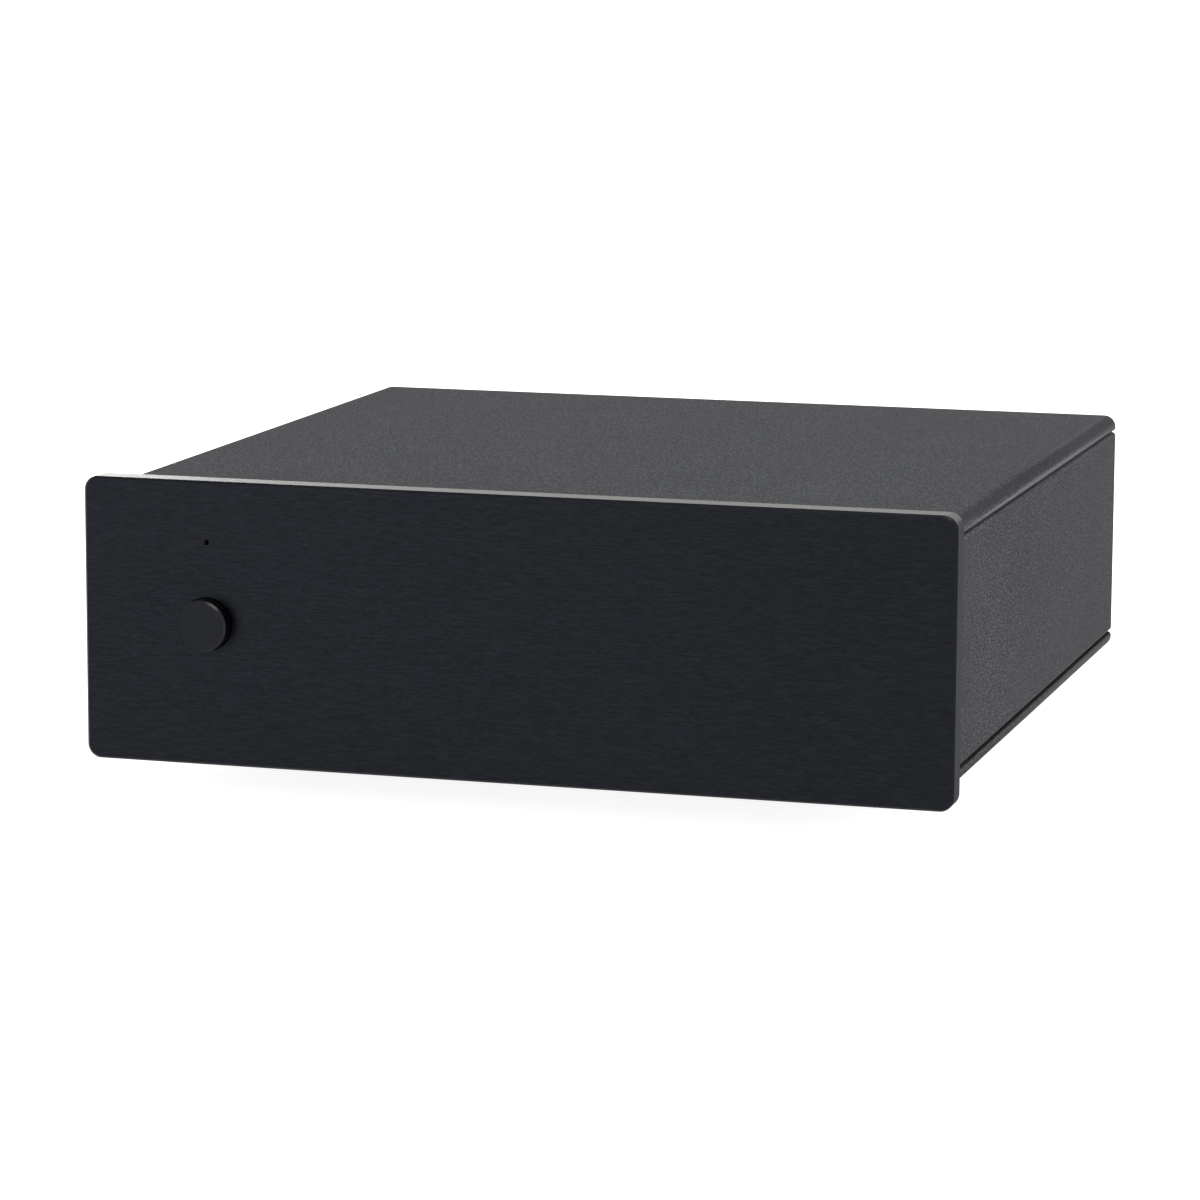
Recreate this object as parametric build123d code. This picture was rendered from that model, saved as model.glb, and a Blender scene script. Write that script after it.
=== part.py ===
"""Palm-size phono preamplifier in a box of interlocking aluminium extrusions.

Units are millimetres.  X runs to the right and Y to the rear, both as seen from in front of the
object, and Z runs up.  The origin lies on the floor, below the middle of the whole object.

The case is four extrusions: two side rails and two equal covers.  Each cover has a rolled lip along
both sides, and two hook legs whose feet reach under a shelf of the rail.  The covers slide on from
the rear, and the two end panels, screwed into the screw ports of the rails, trap them.
"""

from build123d import *
import math
import os

# ---------------------------------------------------------------------------------- case, outside
case_width = 100.75
case_height = 30.45
case_length = 99.0
plate_thickness = 3.0
plate_over_side = 1.125  # how far the front plate stands past the case at each side
plate_over_top = 1.35
plate_over_bottom = 1.35
plate_corner = 1.65
plate_edge = 0.25  # milled bevel round the front face
foot_height = 5.2
foot_radius = 6.0
foot_taper = 0.5  # how much smaller the foot's radius is at the floor
foot_from_side = 14.0  # foot centre to the side of the case
foot_from_front = 27.0
foot_from_rear = 15.0
foot_recess = 2.9  # depth of the screw's recess in the foot

# ---------------------------------------------------------------------------- case, cross-section
cover_skin = 1.5
cover_corner = 1.5
seam_depth = 2.075  # case top to the middle of the seam under the lip
seam_gap = 0.12
seam_round = 0.5
rail_wall = 2.0
hook_from_side = 8.375  # outer face of a hook leg to the side of the case
hook_leg = 1.2
hook_foot = 1.4
hook_space = 1.8  # inner face of the cover to the top of the shelf
shelf_thickness = 1.2
tongue = 1.2
slide_gap = 0.15
port_from_side = 4.175
port_from_top = 6.15
port_radius = 2.1
port_slot = 1.1
slot_rib = 1.2
slot_reach = 2.6  # how far the board slot's ribs stand in from the rail wall

# -------------------------------------------------------------------------------------- end panels
inner_panel_thickness = 1.5
rear_panel_thickness = 2.0
rear_recess = 0.5
panel_corner = 0.8

# ------------------------------------------------------------------------------------------ screws
screw_radius = 1.2
screw_head_radius = 2.2
screw_head_height = 1.5
screw_socket = 1.15  # radius of the hexagon socket
screw_socket_depth = 0.8
thread_gap = 0.05
screw_clearance = 0.2
screw_grip = 6.0  # how far a screw reaches into a screw port
plate_screw_grip = 2.0
plate_screw_x = 24.0
plate_screw_from_edge = 6.275  # screw to the top or the underside of the case
foot_screw_tip = 1.0  # how far a foot screw stands up inside the base cover

# ---------------------------------------------------------------------------- button, switch, light
button_from_side = 13.925  # button axis to the left side of the case
button_above_case_foot = 15.2
button_radius = 3.0
button_gap = 0.11  # radial, in the front plate
button_proud = 2.1
button_bevel = 0.25
button_travel = 1.8
button_collar_radius = 4.2
button_collar = 1.2
button_sleeve = 5.2
button_sleeve_length = 3.55
button_rest_gap = 0.25  # collar to the inner panel
switch_width = 8.6
switch_height = 8.0
switch_depth = 8.0
switch_bore_depth = 6.6
plunger_side = 3.0
plunger_gap = 0.12
plunger_in_button = 3.2
plunger_in_switch = 2.6
spring_room = 4.0  # button sleeve to switch body at rest
spring_wire = 0.15
spring_radius = 2.45
spring_turns = 5
light_below_case_top = 5.75
light_hole_radius = 0.32
led_radius = 1.5
led_flange = 1.9
led_flange_thickness = 1.0
led_length = 4.5
led_gap = 0.2
led_lead = 0.25
led_lead_pitch = 2.54
led_spacer_radius = 2.1
front_board_width = 12.6
front_board_left = 4.1  # button axis to the left edge of the front board
front_board_top = 2.9  # light axis to the top edge of the front board
front_board_pins = 4

# ------------------------------------------------------------------------------------- main board
board_underside = 9.3  # above the underside of the case
board_thickness = 1.6
board_side_gap = 0.3
board_end_gap = 0.4
tail_width = 0.8
tail_thick = 0.5
tail_below = 1.2  # how far a soldered tail stands out under the board
tail_gap = 0.15
pin_pitch = 2.54

# ------------------------------------------------------------------------------------ rear sockets
jack_above_board = 6.5
jack_pitch = 14.0
input_from_side = 23.375  # middle of the input block to the right side of the case
barrel_radius = 4.15
barrel_bore = 3.3
barrel_reach = 9.5  # past the outer face of the rear panel
barrel_flange = 4.65
barrel_flange_thickness = 0.8
barrel_behind = 1.2  # how far the barrel stands into the block's cavity
barrel_hole_gap = 0.35
insulator_recess = 0.8
contact_radius = 2.0
contact_bore = 1.6
contact_depth = 8.0
contact_recess = 1.0
contact_behind = 2.4
block_width = 26.0
block_height = 13.0
block_depth = 11.0
block_front = 3.5
block_wall = 1.6

# --------------------------------------------------------------------------------- supply inlet
inlet_from_side = 14.375  # inlet axis to the left side of the case
inlet_width = 9.0
inlet_height = 11.0
inlet_depth = 13.5
inlet_nose = 3.95
inlet_bore = 3.15
inlet_bore_depth = 10.0
inlet_pin = 1.05
inlet_pin_root = 1.5  # radius of the pin's root, which the body's rear wall holds
inlet_pin_recess = 0.8
inlet_wall_pin = 1.6  # how far the pin stands out behind the inlet's body

# ------------------------------------------------------------------------------- earth terminal
stud_radius = 2.0
stud_reach = 14.5  # past the rear of the case
stud_inside = 6.5
stud_collar_radius = 4.2
stud_collar = 2.0
stud_chamfer = 0.4
running_gap = 0.06
washer_radius = 4.6
washer_thickness = 0.8
terminal_gap = 0.1
thumb_nut_radius = 5.0
thumb_nut_length = 6.5
thumb_nut_waist = 3.9
thumb_nut_waist_length = 1.6
knurl_teeth = 32
knurl_depth = 0.3
inner_nut_flat = 3.5  # half the width across the flats
inner_nut_thickness = 2.4
tag_radius = 3.9
tag_thickness = 0.5

# ------------------------------------------------------------------------------- setting switches
dip_ways = 6
dip_x = 20.0
dip_from_front = 61.7
dip_end = 1.1  # block end past the outer slots' pitch lines
dip_width = 9.9
dip_height = 5.4
dip_slot_width = 1.5
dip_slot_length = 3.8
dip_slot_depth = 1.6
slider_width = 1.2
slider_length = 1.6
slider_proud = 0.9
slider_gap = 0.12
slider_end_gap = 0.2
dip_lead_width = 0.6
dip_lead_thick = 0.25
dip_lead_reach = 1.3
window_margin = 1.7
window_corner = 1.5

# ------------------------------------------------------------------------ what the board carries
# Places in Y count from the board's front edge, and places in X from a side of the case.
capacitor_radius = 4.0
capacitor_height = 11.5
capacitor_crimp = 0.35
capacitor_count = 4
capacitor_pitch = 9.5
capacitor_from_side = 14.875
capacitor_y = 63.0
film_size = (7.2, 3.4, 6.6)
film_columns = 4
film_rows = 2
film_pitch = 10.0
film_row_pitch = 7.5
film_from_side = 9.375
film_y = 57.0
chip_size = (4.9, 3.9, 1.35)
chip_count = 4
chip_pitch = 9.0
chip_standoff = 0.15
chip_leg = 0.4
chip_from_side = 11.375
chip_y = 50.0
relay_size = (10.0, 6.4, 5.2)
relay_count = 2
relay_pitch = 14.5
relay_from_side = 17.375
relay_y = 34.0
resistor_size = (3.2, 1.6, 0.6)
resistor_columns = 5
resistor_rows = 2
resistor_pitch = 6.0
resistor_row_pitch = 4.5
resistor_from_side = 12.375
resistor_y = 22.0
regulator_size = (8.0, 2.7, 11.0)
regulator_leg = 0.7
regulator_lift = 2.0
regulator_hole_drop = 3.7
sink_x = -2.0
sink_from_front = 14.5
sink_length = 32.0
sink_headroom = 1.65  # sink to the inner face of the top cover
sink_base = 2.0
sink_fin = 1.0
sink_fins = 7
sink_depth = 9.0

# ------------------------------------------------------------------------------ places worked out
half_width = case_width / 2
overall_depth = button_proud + plate_thickness + case_length + stud_reach
plate_front_y = button_proud - overall_depth / 2
case_front_y = plate_front_y + plate_thickness
case_rear_y = case_front_y + case_length
panel_back_y = case_front_y + inner_panel_thickness
rear_face_y = case_rear_y - rear_recess
rear_inner_y = rear_face_y - rear_panel_thickness

case_bottom_z = foot_height
case_top_z = case_bottom_z + case_height
case_middle_z = (case_bottom_z + case_top_z) / 2
plate_bottom_z = case_bottom_z - plate_over_bottom
plate_top_z = case_top_z + plate_over_top

board_low_z = case_bottom_z + board_underside
board_top_z = board_low_z + board_thickness
board_half = half_width - rail_wall - board_side_gap
board_front_y = panel_back_y + screw_head_height + board_end_gap
board_rear_y = rear_inner_y - board_end_gap

button_x = button_from_side - half_width
button_z = case_bottom_z + button_above_case_foot
collar_y = panel_back_y + button_rest_gap
sleeve_y = collar_y + button_collar
sleeve_back_y = sleeve_y + button_sleeve_length
switch_front_y = sleeve_back_y + spring_room
front_board_y = switch_front_y + switch_depth
light_z = case_top_z - light_below_case_top

jack_z = board_top_z + jack_above_board
inlet_x = inlet_from_side - half_width
input_x = half_width - input_from_side
rear_room = input_x - block_width / 2 - (inlet_x + inlet_width / 2)
rear_space = (rear_room - block_width - 2 * tag_radius) / 3  # between neighbours on the rear panel
output_x = inlet_x + (inlet_width + block_width) / 2 + rear_space
terminal_x = output_x + block_width / 2 + rear_space + tag_radius

dip_y = case_front_y + dip_from_front
dip_face_z = board_low_z - dip_height
dip_length = dip_ways * pin_pitch + 2 * dip_end
foot_x = half_width - foot_from_side
foot_front_y = case_front_y + foot_from_front
foot_rear_y = case_rear_y - foot_from_rear
port_x = half_width - port_from_side
port_z_offset = case_height / 2 - port_from_top
plate_screw_offset = case_height / 2 - plate_screw_from_edge
sink_height = case_top_z - cover_skin - sink_headroom - board_top_z

REARWARD = Rot(-90, 0, 0)  # turns +Z to +Y
FORWARD = Rot(90, 0, 0)  # turns +Z to -Y
DOWNWARD = Rot(180, 0, 0)


# ------------------------------------------------------------------------------------ small helpers
def block(x0, x1, y0, y1, z0, z1):
    """A box between two corners."""
    middle = Pos((x0 + x1) / 2, (y0 + y1) / 2, (z0 + z1) / 2)
    return middle * Box(x1 - x0, y1 - y0, z1 - z0)


def bar(x0, x1, z0, z1):
    """A rectangle of an X-Z profile between two corners."""
    return Pos((x0 + x1) / 2, (z0 + z1) / 2) * Rectangle(x1 - x0, z1 - z0)


def rod(radius, length):
    """A cylinder that stands on its own origin."""
    return Cylinder(radius, length, align=(Align.CENTER, Align.CENTER, Align.MIN))


def tube(outer, bore, length):
    """A rod with a hole along its axis."""
    return rod(outer, length) - rod(bore, length)


def along_y(profile, y0, length):
    """An X-Z profile carried rearwards from y0."""
    plane = Plane(origin=(0, y0, 0), x_dir=(1, 0, 0), z_dir=(0, -1, 0))
    return extrude(plane * profile, amount=length, dir=(0, 1, 0))


def corners(profile, points):
    """The corners of a flat profile that lie at the given points."""
    return [profile.vertices().sort_by_distance(Vector(x, z))[0] for x, z in points]


def group(solids):
    """Separate solids of one kind that share a node."""
    return Compound(children=list(solids))


def both_sides(x):
    """The right and the left place of a pair."""
    return (x, -x)


def cap_screw(length):
    """A screw with a hexagon socket, its head above the origin and its shank below."""
    head = rod(screw_head_radius, screw_head_height)
    head = chamfer(head.edges().group_by(Axis.Z)[-1], screw_head_height / 4)
    socket = extrude(RegularPolygon(screw_socket, 6), amount=screw_socket_depth)
    head -= Pos(0, 0, screw_head_height - screw_socket_depth) * socket
    return head + Pos(0, 0, -length) * rod(screw_radius, length)


def flush_screw(length):
    """A countersunk screw, flush with the face that it is driven into."""
    cone_height = screw_head_radius - screw_radius
    head = Pos(0, 0, -cone_height / 2) * Cone(screw_radius, screw_head_radius, cone_height)
    return head + Pos(0, 0, -length) * rod(screw_radius, length)


def flush_screw_hole(depth):
    """The hole that a countersunk screw passes through and its head lies in."""
    cone_height = screw_head_radius - screw_radius
    wide = screw_head_radius + thread_gap
    narrow = screw_radius + thread_gap
    sink = Pos(0, 0, -cone_height / 2) * Cone(narrow, wide, cone_height)
    return sink + Pos(0, 0, -depth) * rod(narrow, depth)


def port_places():
    """Where the four screw ports run, as x and z."""
    for x in both_sides(port_x):
        for offset in both_sides(port_z_offset):
            yield x, case_middle_z + offset


def plate_screw_places():
    """Where the front plate is screwed on from behind, as x and z."""
    for x in both_sides(plate_screw_x):
        for offset in both_sides(plate_screw_offset):
            yield x, case_middle_z + offset


def foot_places():
    """Names and centres of the four feet."""
    for row, y in (("front", foot_front_y), ("rear", foot_rear_y)):
        yield f"foot_{row}_right", foot_x, y
        yield f"foot_{row}_left", -foot_x, y


def jack_places():
    """Channel and x of each phono socket."""
    for middle in (input_x, output_x):
        yield "left", middle + jack_pitch / 2
        yield "right", middle - jack_pitch / 2


def tail(x, y, top_z):
    """A soldered tail that runs down through the main board."""
    low = board_low_z - tail_below
    half_x = tail_width / 2
    half_y = tail_thick / 2
    return block(x - half_x, x + half_x, y - half_y, y + half_y, low, top_z)


def tail_hole(x, y):
    """The hole in the main board that a tail passes through."""
    half_x = tail_width / 2 + tail_gap
    half_y = tail_thick / 2 + tail_gap
    return block(x - half_x, x + half_x, y - half_y, y + half_y, board_low_z, board_top_z)


# ----------------------------------------------------------------------------- covers and side rails
def cover_profile():
    """Rolled cover with its two lips and hook legs, in X and Z."""
    inner_z = case_top_z - cover_skin
    lip_z = case_top_z - seam_depth + seam_gap / 2
    outer = bar(-half_width, half_width, lip_z, case_top_z)
    profile = outer - bar(cover_skin - half_width, half_width - cover_skin, lip_z, inner_z)
    foot_top = inner_z - hook_space - shelf_thickness - slide_gap
    foot_low = foot_top - shelf_thickness
    leg_x = half_width - hook_from_side
    for side in (1, -1):
        ends = sorted((side * (leg_x - hook_leg), side * leg_x))
        profile += bar(*ends, foot_low, inner_z)
        ends = sorted((side * leg_x, side * (leg_x + hook_foot)))
        profile += bar(*ends, foot_low, foot_top)
    tops = corners(profile, [(x, case_top_z) for x in both_sides(half_width)])
    profile = fillet(tops, cover_corner)
    lips = corners(profile, [(x, lip_z) for x in both_sides(half_width)])
    return fillet(lips, seam_round)


def rail_profile():
    """Right-hand side rail, in X and Z."""
    wall_x = half_width - rail_wall
    wall_top = case_top_z - seam_depth - seam_gap / 2
    wall_low = case_bottom_z + seam_depth + seam_gap / 2
    profile = bar(wall_x, half_width, wall_low, wall_top)
    tongue_x = half_width - cover_skin - slide_gap
    shelf_x = half_width - hook_from_side + slide_gap
    for side in (1, -1):
        inner = case_middle_z + side * (case_height / 2 - cover_skin)
        tip = inner - side * slide_gap
        shelf = inner - side * hook_space
        under = shelf - side * shelf_thickness
        profile += bar(tongue_x - tongue, tongue_x, *sorted((under, tip)))
        profile += bar(shelf_x, wall_x, *sorted((under, shelf)))
        port_z = case_middle_z + side * port_z_offset
        profile += Pos(port_x, port_z) * Circle(port_radius)
        root = sorted((port_z, under))
        profile += bar(port_x - port_radius / 2, wall_x, *root)
    for low in (board_low_z - slide_gap - slot_rib, board_top_z + slide_gap):
        profile += bar(wall_x - slot_reach, wall_x, low, low + slot_rib)
    for side in (1, -1):
        port_z = case_middle_z + side * port_z_offset
        profile -= Pos(port_x, port_z) * Circle(screw_radius + thread_gap)
        half_slot = port_slot / 2
        profile -= bar(port_x - port_radius, port_x, port_z - half_slot, port_z + half_slot)
    ends = corners(profile, [(half_width, wall_top), (half_width, wall_low)])
    return fillet(ends, seam_round)


def panel_mouth(y0, y1):
    """The room that an end panel takes out of the ends of the four extrusions."""
    mouth_x = half_width - cover_skin - slide_gap
    low = case_bottom_z + cover_skin
    top = case_top_z - cover_skin
    return block(-mouth_x, mouth_x, y0, y1, low, top)


def cut_to_length(profile):
    """An extrusion of the case, its inner parts set back behind both end panels."""
    piece = along_y(profile, case_front_y, case_length)
    piece -= panel_mouth(case_front_y, panel_back_y)
    return piece - panel_mouth(rear_inner_y, case_rear_y)


def make_top_cover():
    return cut_to_length(cover_profile())


def dip_window(x):
    """The window in the base cover under one block of setting switches."""
    wide = dip_length + 2 * window_margin
    deep = dip_width + 2 * window_margin
    outline = RectangleRounded(wide, deep, window_corner)
    return Pos(x, dip_y, case_bottom_z) * extrude(outline, amount=cover_skin)


def make_base_cover():
    cover = mirror(cut_to_length(cover_profile()), about=Plane.XY.offset(case_middle_z))
    for x in both_sides(dip_x):
        cover -= dip_window(x)
    for _, x, y in foot_places():
        cover -= Pos(x, y, case_bottom_z) * rod(screw_radius + thread_gap, cover_skin)
    return cover


def make_right_rail():
    return cut_to_length(rail_profile())


def make_left_rail():
    return mirror(make_right_rail(), about=Plane.YZ)


# ----------------------------------------------------------------------------------------- end panels
def panel_blank(y0, thickness):
    """An end panel's blank, a sliding fit in the ends of the case."""
    wide = case_width - 2 * (cover_skin + 2 * slide_gap)
    tall = case_height - 2 * (cover_skin + slide_gap)
    outline = Pos(0, case_middle_z) * RectangleRounded(wide, tall, panel_corner)
    return along_y(outline, y0, thickness)


def make_front_plate():
    wide = case_width + 2 * plate_over_side
    tall = plate_top_z - plate_bottom_z
    outline = RectangleRounded(wide, tall, plate_corner)
    middle = (plate_top_z + plate_bottom_z) / 2
    plate = along_y(Pos(0, middle) * outline, plate_front_y, plate_thickness)
    plate = chamfer(plate.faces().sort_by(Axis.Y)[0].edges(), plate_edge)
    at_button = Pos(button_x, plate_front_y, button_z) * REARWARD
    plate -= at_button * rod(button_radius + button_gap, plate_thickness)
    at_light = Pos(button_x, plate_front_y, light_z) * REARWARD
    plate -= at_light * rod(light_hole_radius, plate_thickness)
    for x, z in plate_screw_places():
        depth = plate_screw_grip + thread_gap
        hole = rod(screw_radius + thread_gap, depth)
        plate -= Pos(x, case_front_y, z) * FORWARD * hole
    return plate


def make_inner_front_panel():
    panel = panel_blank(case_front_y, inner_panel_thickness)
    for x, z in port_places():
        hole = flush_screw_hole(inner_panel_thickness)
        panel -= Pos(x, case_front_y, z) * FORWARD * hole
    for x, z in plate_screw_places():
        hole = rod(screw_radius + screw_clearance, inner_panel_thickness)
        panel -= Pos(x, case_front_y, z) * REARWARD * hole
    button_hole = rod(button_radius + 2 * button_gap, inner_panel_thickness)
    panel -= Pos(button_x, case_front_y, button_z) * REARWARD * button_hole
    light_hole = rod(led_radius + slide_gap, inner_panel_thickness)
    return panel - Pos(button_x, case_front_y, light_z) * REARWARD * light_hole


def make_rear_panel():
    panel = panel_blank(rear_inner_y, rear_panel_thickness)

    def drill(x, z, radius):
        return Pos(x, rear_inner_y, z) * REARWARD * rod(radius, rear_panel_thickness)

    for x, z in port_places():
        panel -= drill(x, z, screw_radius + screw_clearance)
    for _, x in jack_places():
        panel -= drill(x, jack_z, barrel_radius + barrel_hole_gap)
    for x in (input_x, output_x):
        panel -= Pos(x, rear_face_y, jack_z) * REARWARD * flush_screw_hole(rear_panel_thickness)
    panel -= drill(terminal_x, jack_z, stud_radius + thread_gap)
    return panel - drill(inlet_x, jack_z, inlet_nose + slide_gap)


def make_inner_panel_screws():
    length = inner_panel_thickness + screw_grip
    for x, z in port_places():
        yield Pos(x, case_front_y, z) * FORWARD * flush_screw(length)


def make_front_plate_screws():
    length = inner_panel_thickness + plate_screw_grip
    for x, z in plate_screw_places():
        yield Pos(x, panel_back_y, z) * REARWARD * cap_screw(length)


def make_rear_panel_screws():
    length = rear_panel_thickness + screw_grip
    for x, z in port_places():
        yield Pos(x, rear_face_y, z) * REARWARD * cap_screw(length)


# ---------------------------------------------------------------------------------------------- feet
def make_foot(x, y):
    """A rubber foot, its screw head sunk in a recess from below."""
    foot = Pos(0, 0, foot_height / 2) * Cone(foot_radius - foot_taper, foot_radius, foot_height)
    foot = chamfer(foot.edges().group_by(Axis.Z)[0], foot_taper)
    foot -= rod(screw_head_radius + 4 * screw_clearance, foot_recess)
    foot -= rod(screw_radius + screw_clearance, foot_height)
    return Pos(x, y, 0) * foot


def make_foot_screws():
    length = foot_height - foot_recess + cover_skin + foot_screw_tip
    for _, x, y in foot_places():
        yield Pos(x, y, foot_recess) * DOWNWARD * cap_screw(length)


# ---------------------------------------------------------------------------- button, switch and light
def make_power_button():
    """Cap, retaining collar and the square sleeve that holds the switch's plunger."""
    cap_length = button_proud + plate_thickness + inner_panel_thickness + button_rest_gap
    cap = rod(button_radius, cap_length)
    cap = chamfer(cap.edges().group_by(Axis.Z)[-1], button_bevel)
    cap += Pos(0, 0, -button_collar) * rod(button_collar_radius, button_collar)
    sleeve = Box(button_sleeve, button_sleeve, button_sleeve_length)
    cap += Pos(0, 0, -button_collar - button_sleeve_length / 2) * sleeve
    hole_side = plunger_side + 2 * thread_gap
    hole = Box(hole_side, hole_side, plunger_in_button + thread_gap)
    low = -button_collar - button_sleeve_length + (plunger_in_button + thread_gap) / 2
    cap -= Pos(0, 0, low) * hole
    return Pos(button_x, collar_y, button_z) * FORWARD * cap


def make_switch_plunger():
    front = sleeve_back_y - plunger_in_button
    back = switch_front_y + plunger_in_switch
    half = plunger_side / 2
    plunger = block(
        button_x - half, button_x + half, front, back, button_z - half, button_z + half
    )
    return chamfer(plunger.edges().filter_by(Axis.Y), button_bevel)


def make_switch_spring():
    """Return spring between the button's sleeve and the switch body."""
    rise = spring_room - 2 * spring_wire
    path = Helix(rise / spring_turns, rise, spring_radius)
    section = Plane(path @ 0, z_dir=path % 0) * RegularPolygon(spring_wire, 6)
    coil = sweep(section, path=path, is_frenet=True)
    start = sleeve_back_y + spring_wire
    return Pos(button_x, start, button_z) * REARWARD * coil


def make_switch_body():
    half = switch_width / 2
    tall = switch_height / 2
    body = block(
        button_x - half,
        button_x + half,
        switch_front_y,
        front_board_y,
        button_z - tall,
        button_z + tall,
    )
    body = fillet(body.edges().filter_by(Axis.Y), button_bevel * 2)
    bore = plunger_side / 2 + plunger_gap
    deep = switch_front_y + switch_bore_depth
    return body - block(
        button_x - bore, button_x + bore, switch_front_y, deep, button_z - bore, button_z + bore
    )


def front_board_pin_places():
    """Places in x of the pins that join the front board to the main board."""
    first = button_x - front_board_left + pin_pitch
    for index in range(front_board_pins):
        yield first + index * pin_pitch


def front_board_pin_z():
    """Height of the pins' upper ends in the front board."""
    return board_top_z + 1.5 * tail_width + tail_below


def led_leads(extra):
    """The two leads of the light, each a square wire, or their holes if extra is given."""
    tip_y = case_front_y + led_gap
    half = led_lead + extra
    for side in (1, -1):
        x = button_x + side * led_lead_pitch / 2
        end = front_board_y + board_thickness + tail_below
        yield block(x - half, x + half, tip_y + led_length, end, light_z - half, light_z + half)


def make_front_board():
    left = button_x - front_board_left
    right = left + front_board_width
    top = light_z + front_board_top
    back = front_board_y + board_thickness
    board = block(left, right, front_board_y, back, board_top_z + thread_gap, top)
    half = tail_width / 2 + tail_gap
    z = front_board_pin_z()
    for x in front_board_pin_places():
        board -= block(x - half, x + half, front_board_y, back, z - half, z + half)
    for hole in led_leads(tail_gap):
        board -= hole
    return board


def make_front_board_pins():
    """Bent pins: through the front board, then down through the main board."""
    back = front_board_y + board_thickness
    half = tail_width / 2
    z = front_board_pin_z()
    y = back + tail_below
    for x in front_board_pin_places():
        across = block(x - half, x + half, front_board_y, y + half, z - half, z + half)
        yield across + tail(x, y + half - tail_thick / 2, z)


def make_status_led():
    """Round light whose dome lies in the inner panel, behind the pin-hole."""
    straight = led_length - led_radius
    body = rod(led_radius, straight) + Pos(0, 0, straight) * Sphere(led_radius)
    body += rod(led_flange, led_flange_thickness)
    base_y = case_front_y + led_gap + led_length
    light = Pos(button_x, base_y, light_z) * FORWARD * body
    for lead in led_leads(0):
        light += lead
    return light


def make_led_spacer():
    front = case_front_y + led_gap + led_length
    spacer = Pos(button_x, front, light_z) * REARWARD * rod(led_spacer_radius, front_board_y - front)
    for hole in led_leads(thread_gap):
        spacer -= hole
    return spacer


# --------------------------------------------------------------------------------------- rear sockets
def contact_tail_y():
    """Where the tails of the jacks' centre contacts run down."""
    return rear_inner_y - block_front - contact_behind + tail_thick / 2


def barrel_tail_y():
    """Where the tails of the jacks' barrels run down."""
    return rear_inner_y - block_front - tail_thick / 2 - thread_gap


def make_socket_block(middle):
    """Moulded block behind the rear panel, hollow from below and behind."""
    low = board_top_z
    top = low + block_height
    half = block_width / 2
    back = rear_inner_y - block_depth
    body = block(middle - half, middle + half, back, rear_inner_y, low, top)
    body = chamfer(body.edges().filter_by(Axis.Y).group_by(Axis.Z)[-1], block_wall / 2)
    inside = half - block_wall
    cavity_front = rear_inner_y - block_front
    body -= block(middle - inside, middle + inside, back, cavity_front, low, top - block_wall)
    for side in (1, -1):
        x = middle + side * jack_pitch / 2
        at_jack = Pos(x, cavity_front, jack_z) * REARWARD
        body -= at_jack * rod(barrel_radius + thread_gap, block_front)
    at_screw = Pos(middle, cavity_front, jack_z) * REARWARD
    return body - at_screw * rod(screw_radius + thread_gap, block_front)


def make_socket_block_screws():
    """Countersunk screws, so that nothing stands in the way of the plugs' collars."""
    screw = flush_screw(rear_panel_thickness + block_front)
    socket = extrude(RegularPolygon(screw_socket, 6), amount=screw_socket_depth)
    screw -= Pos(0, 0, -screw_socket_depth) * socket
    for middle in (input_x, output_x):
        yield Pos(middle, rear_face_y, jack_z) * REARWARD * screw


def make_jack_barrels():
    """Gold barrels, each turned in one piece with its flange, and with a solder tail."""
    inside = rear_panel_thickness + block_front + barrel_behind
    for _, x in jack_places():
        barrel = rod(barrel_radius, inside + barrel_reach)
        barrel = chamfer(barrel.edges().group_by(Axis.Z)[-1], button_bevel)
        barrel += Pos(0, 0, inside) * rod(barrel_flange, barrel_flange_thickness)
        barrel -= rod(barrel_bore, inside + barrel_reach)
        back_y = rear_inner_y - block_front - barrel_behind
        barrel = Pos(x, back_y, jack_z) * REARWARD * barrel
        middle_wall = (barrel_radius + barrel_bore) / 2
        yield barrel + tail(x, barrel_tail_y(), jack_z - middle_wall)


def make_jack_insulators(channel):
    """White or red sleeves between the barrels and the centre contacts."""
    back_y = rear_inner_y - block_front - barrel_behind
    length = rear_face_y + barrel_reach - insulator_recess - back_y
    for name, x in jack_places():
        if name == channel:
            sleeve = tube(barrel_bore - thread_gap, contact_radius + thread_gap, length)
            yield Pos(x, back_y, jack_z) * REARWARD * sleeve


def make_jack_contacts():
    """Centre contacts with a blind bore for the plug's pin and a tail to the board."""
    back_y = rear_inner_y - block_front - contact_behind
    mouth_y = rear_face_y + barrel_reach - contact_recess
    for _, x in jack_places():
        contact = rod(contact_radius, mouth_y - back_y)
        contact -= Pos(0, 0, mouth_y - back_y - contact_depth) * rod(contact_bore, contact_depth)
        contact = Pos(x, back_y, jack_z) * REARWARD * contact
        yield contact + tail(x, contact_tail_y(), jack_z)


# ---------------------------------------------------------------------------------------- supply inlet
def inlet_tail_y():
    """Where the tail of the inlet's pin runs down."""
    return rear_inner_y - inlet_depth - inlet_wall_pin + tail_thick / 2


def make_dc_jack_body():
    half = inlet_width / 2
    top = board_top_z + inlet_height
    back = rear_inner_y - inlet_depth
    body = block(inlet_x - half, inlet_x + half, back, rear_inner_y, board_top_z, top)
    at_panel = Pos(inlet_x, rear_inner_y, jack_z) * REARWARD
    body += at_panel * rod(inlet_nose, rear_panel_thickness)
    at_bore = Pos(inlet_x, rear_face_y - inlet_bore_depth, jack_z) * REARWARD
    body -= at_bore * rod(inlet_bore, inlet_bore_depth)
    through = rear_face_y - back
    return body - Pos(inlet_x, back, jack_z) * REARWARD * rod(inlet_pin_root + thread_gap, through)


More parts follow.
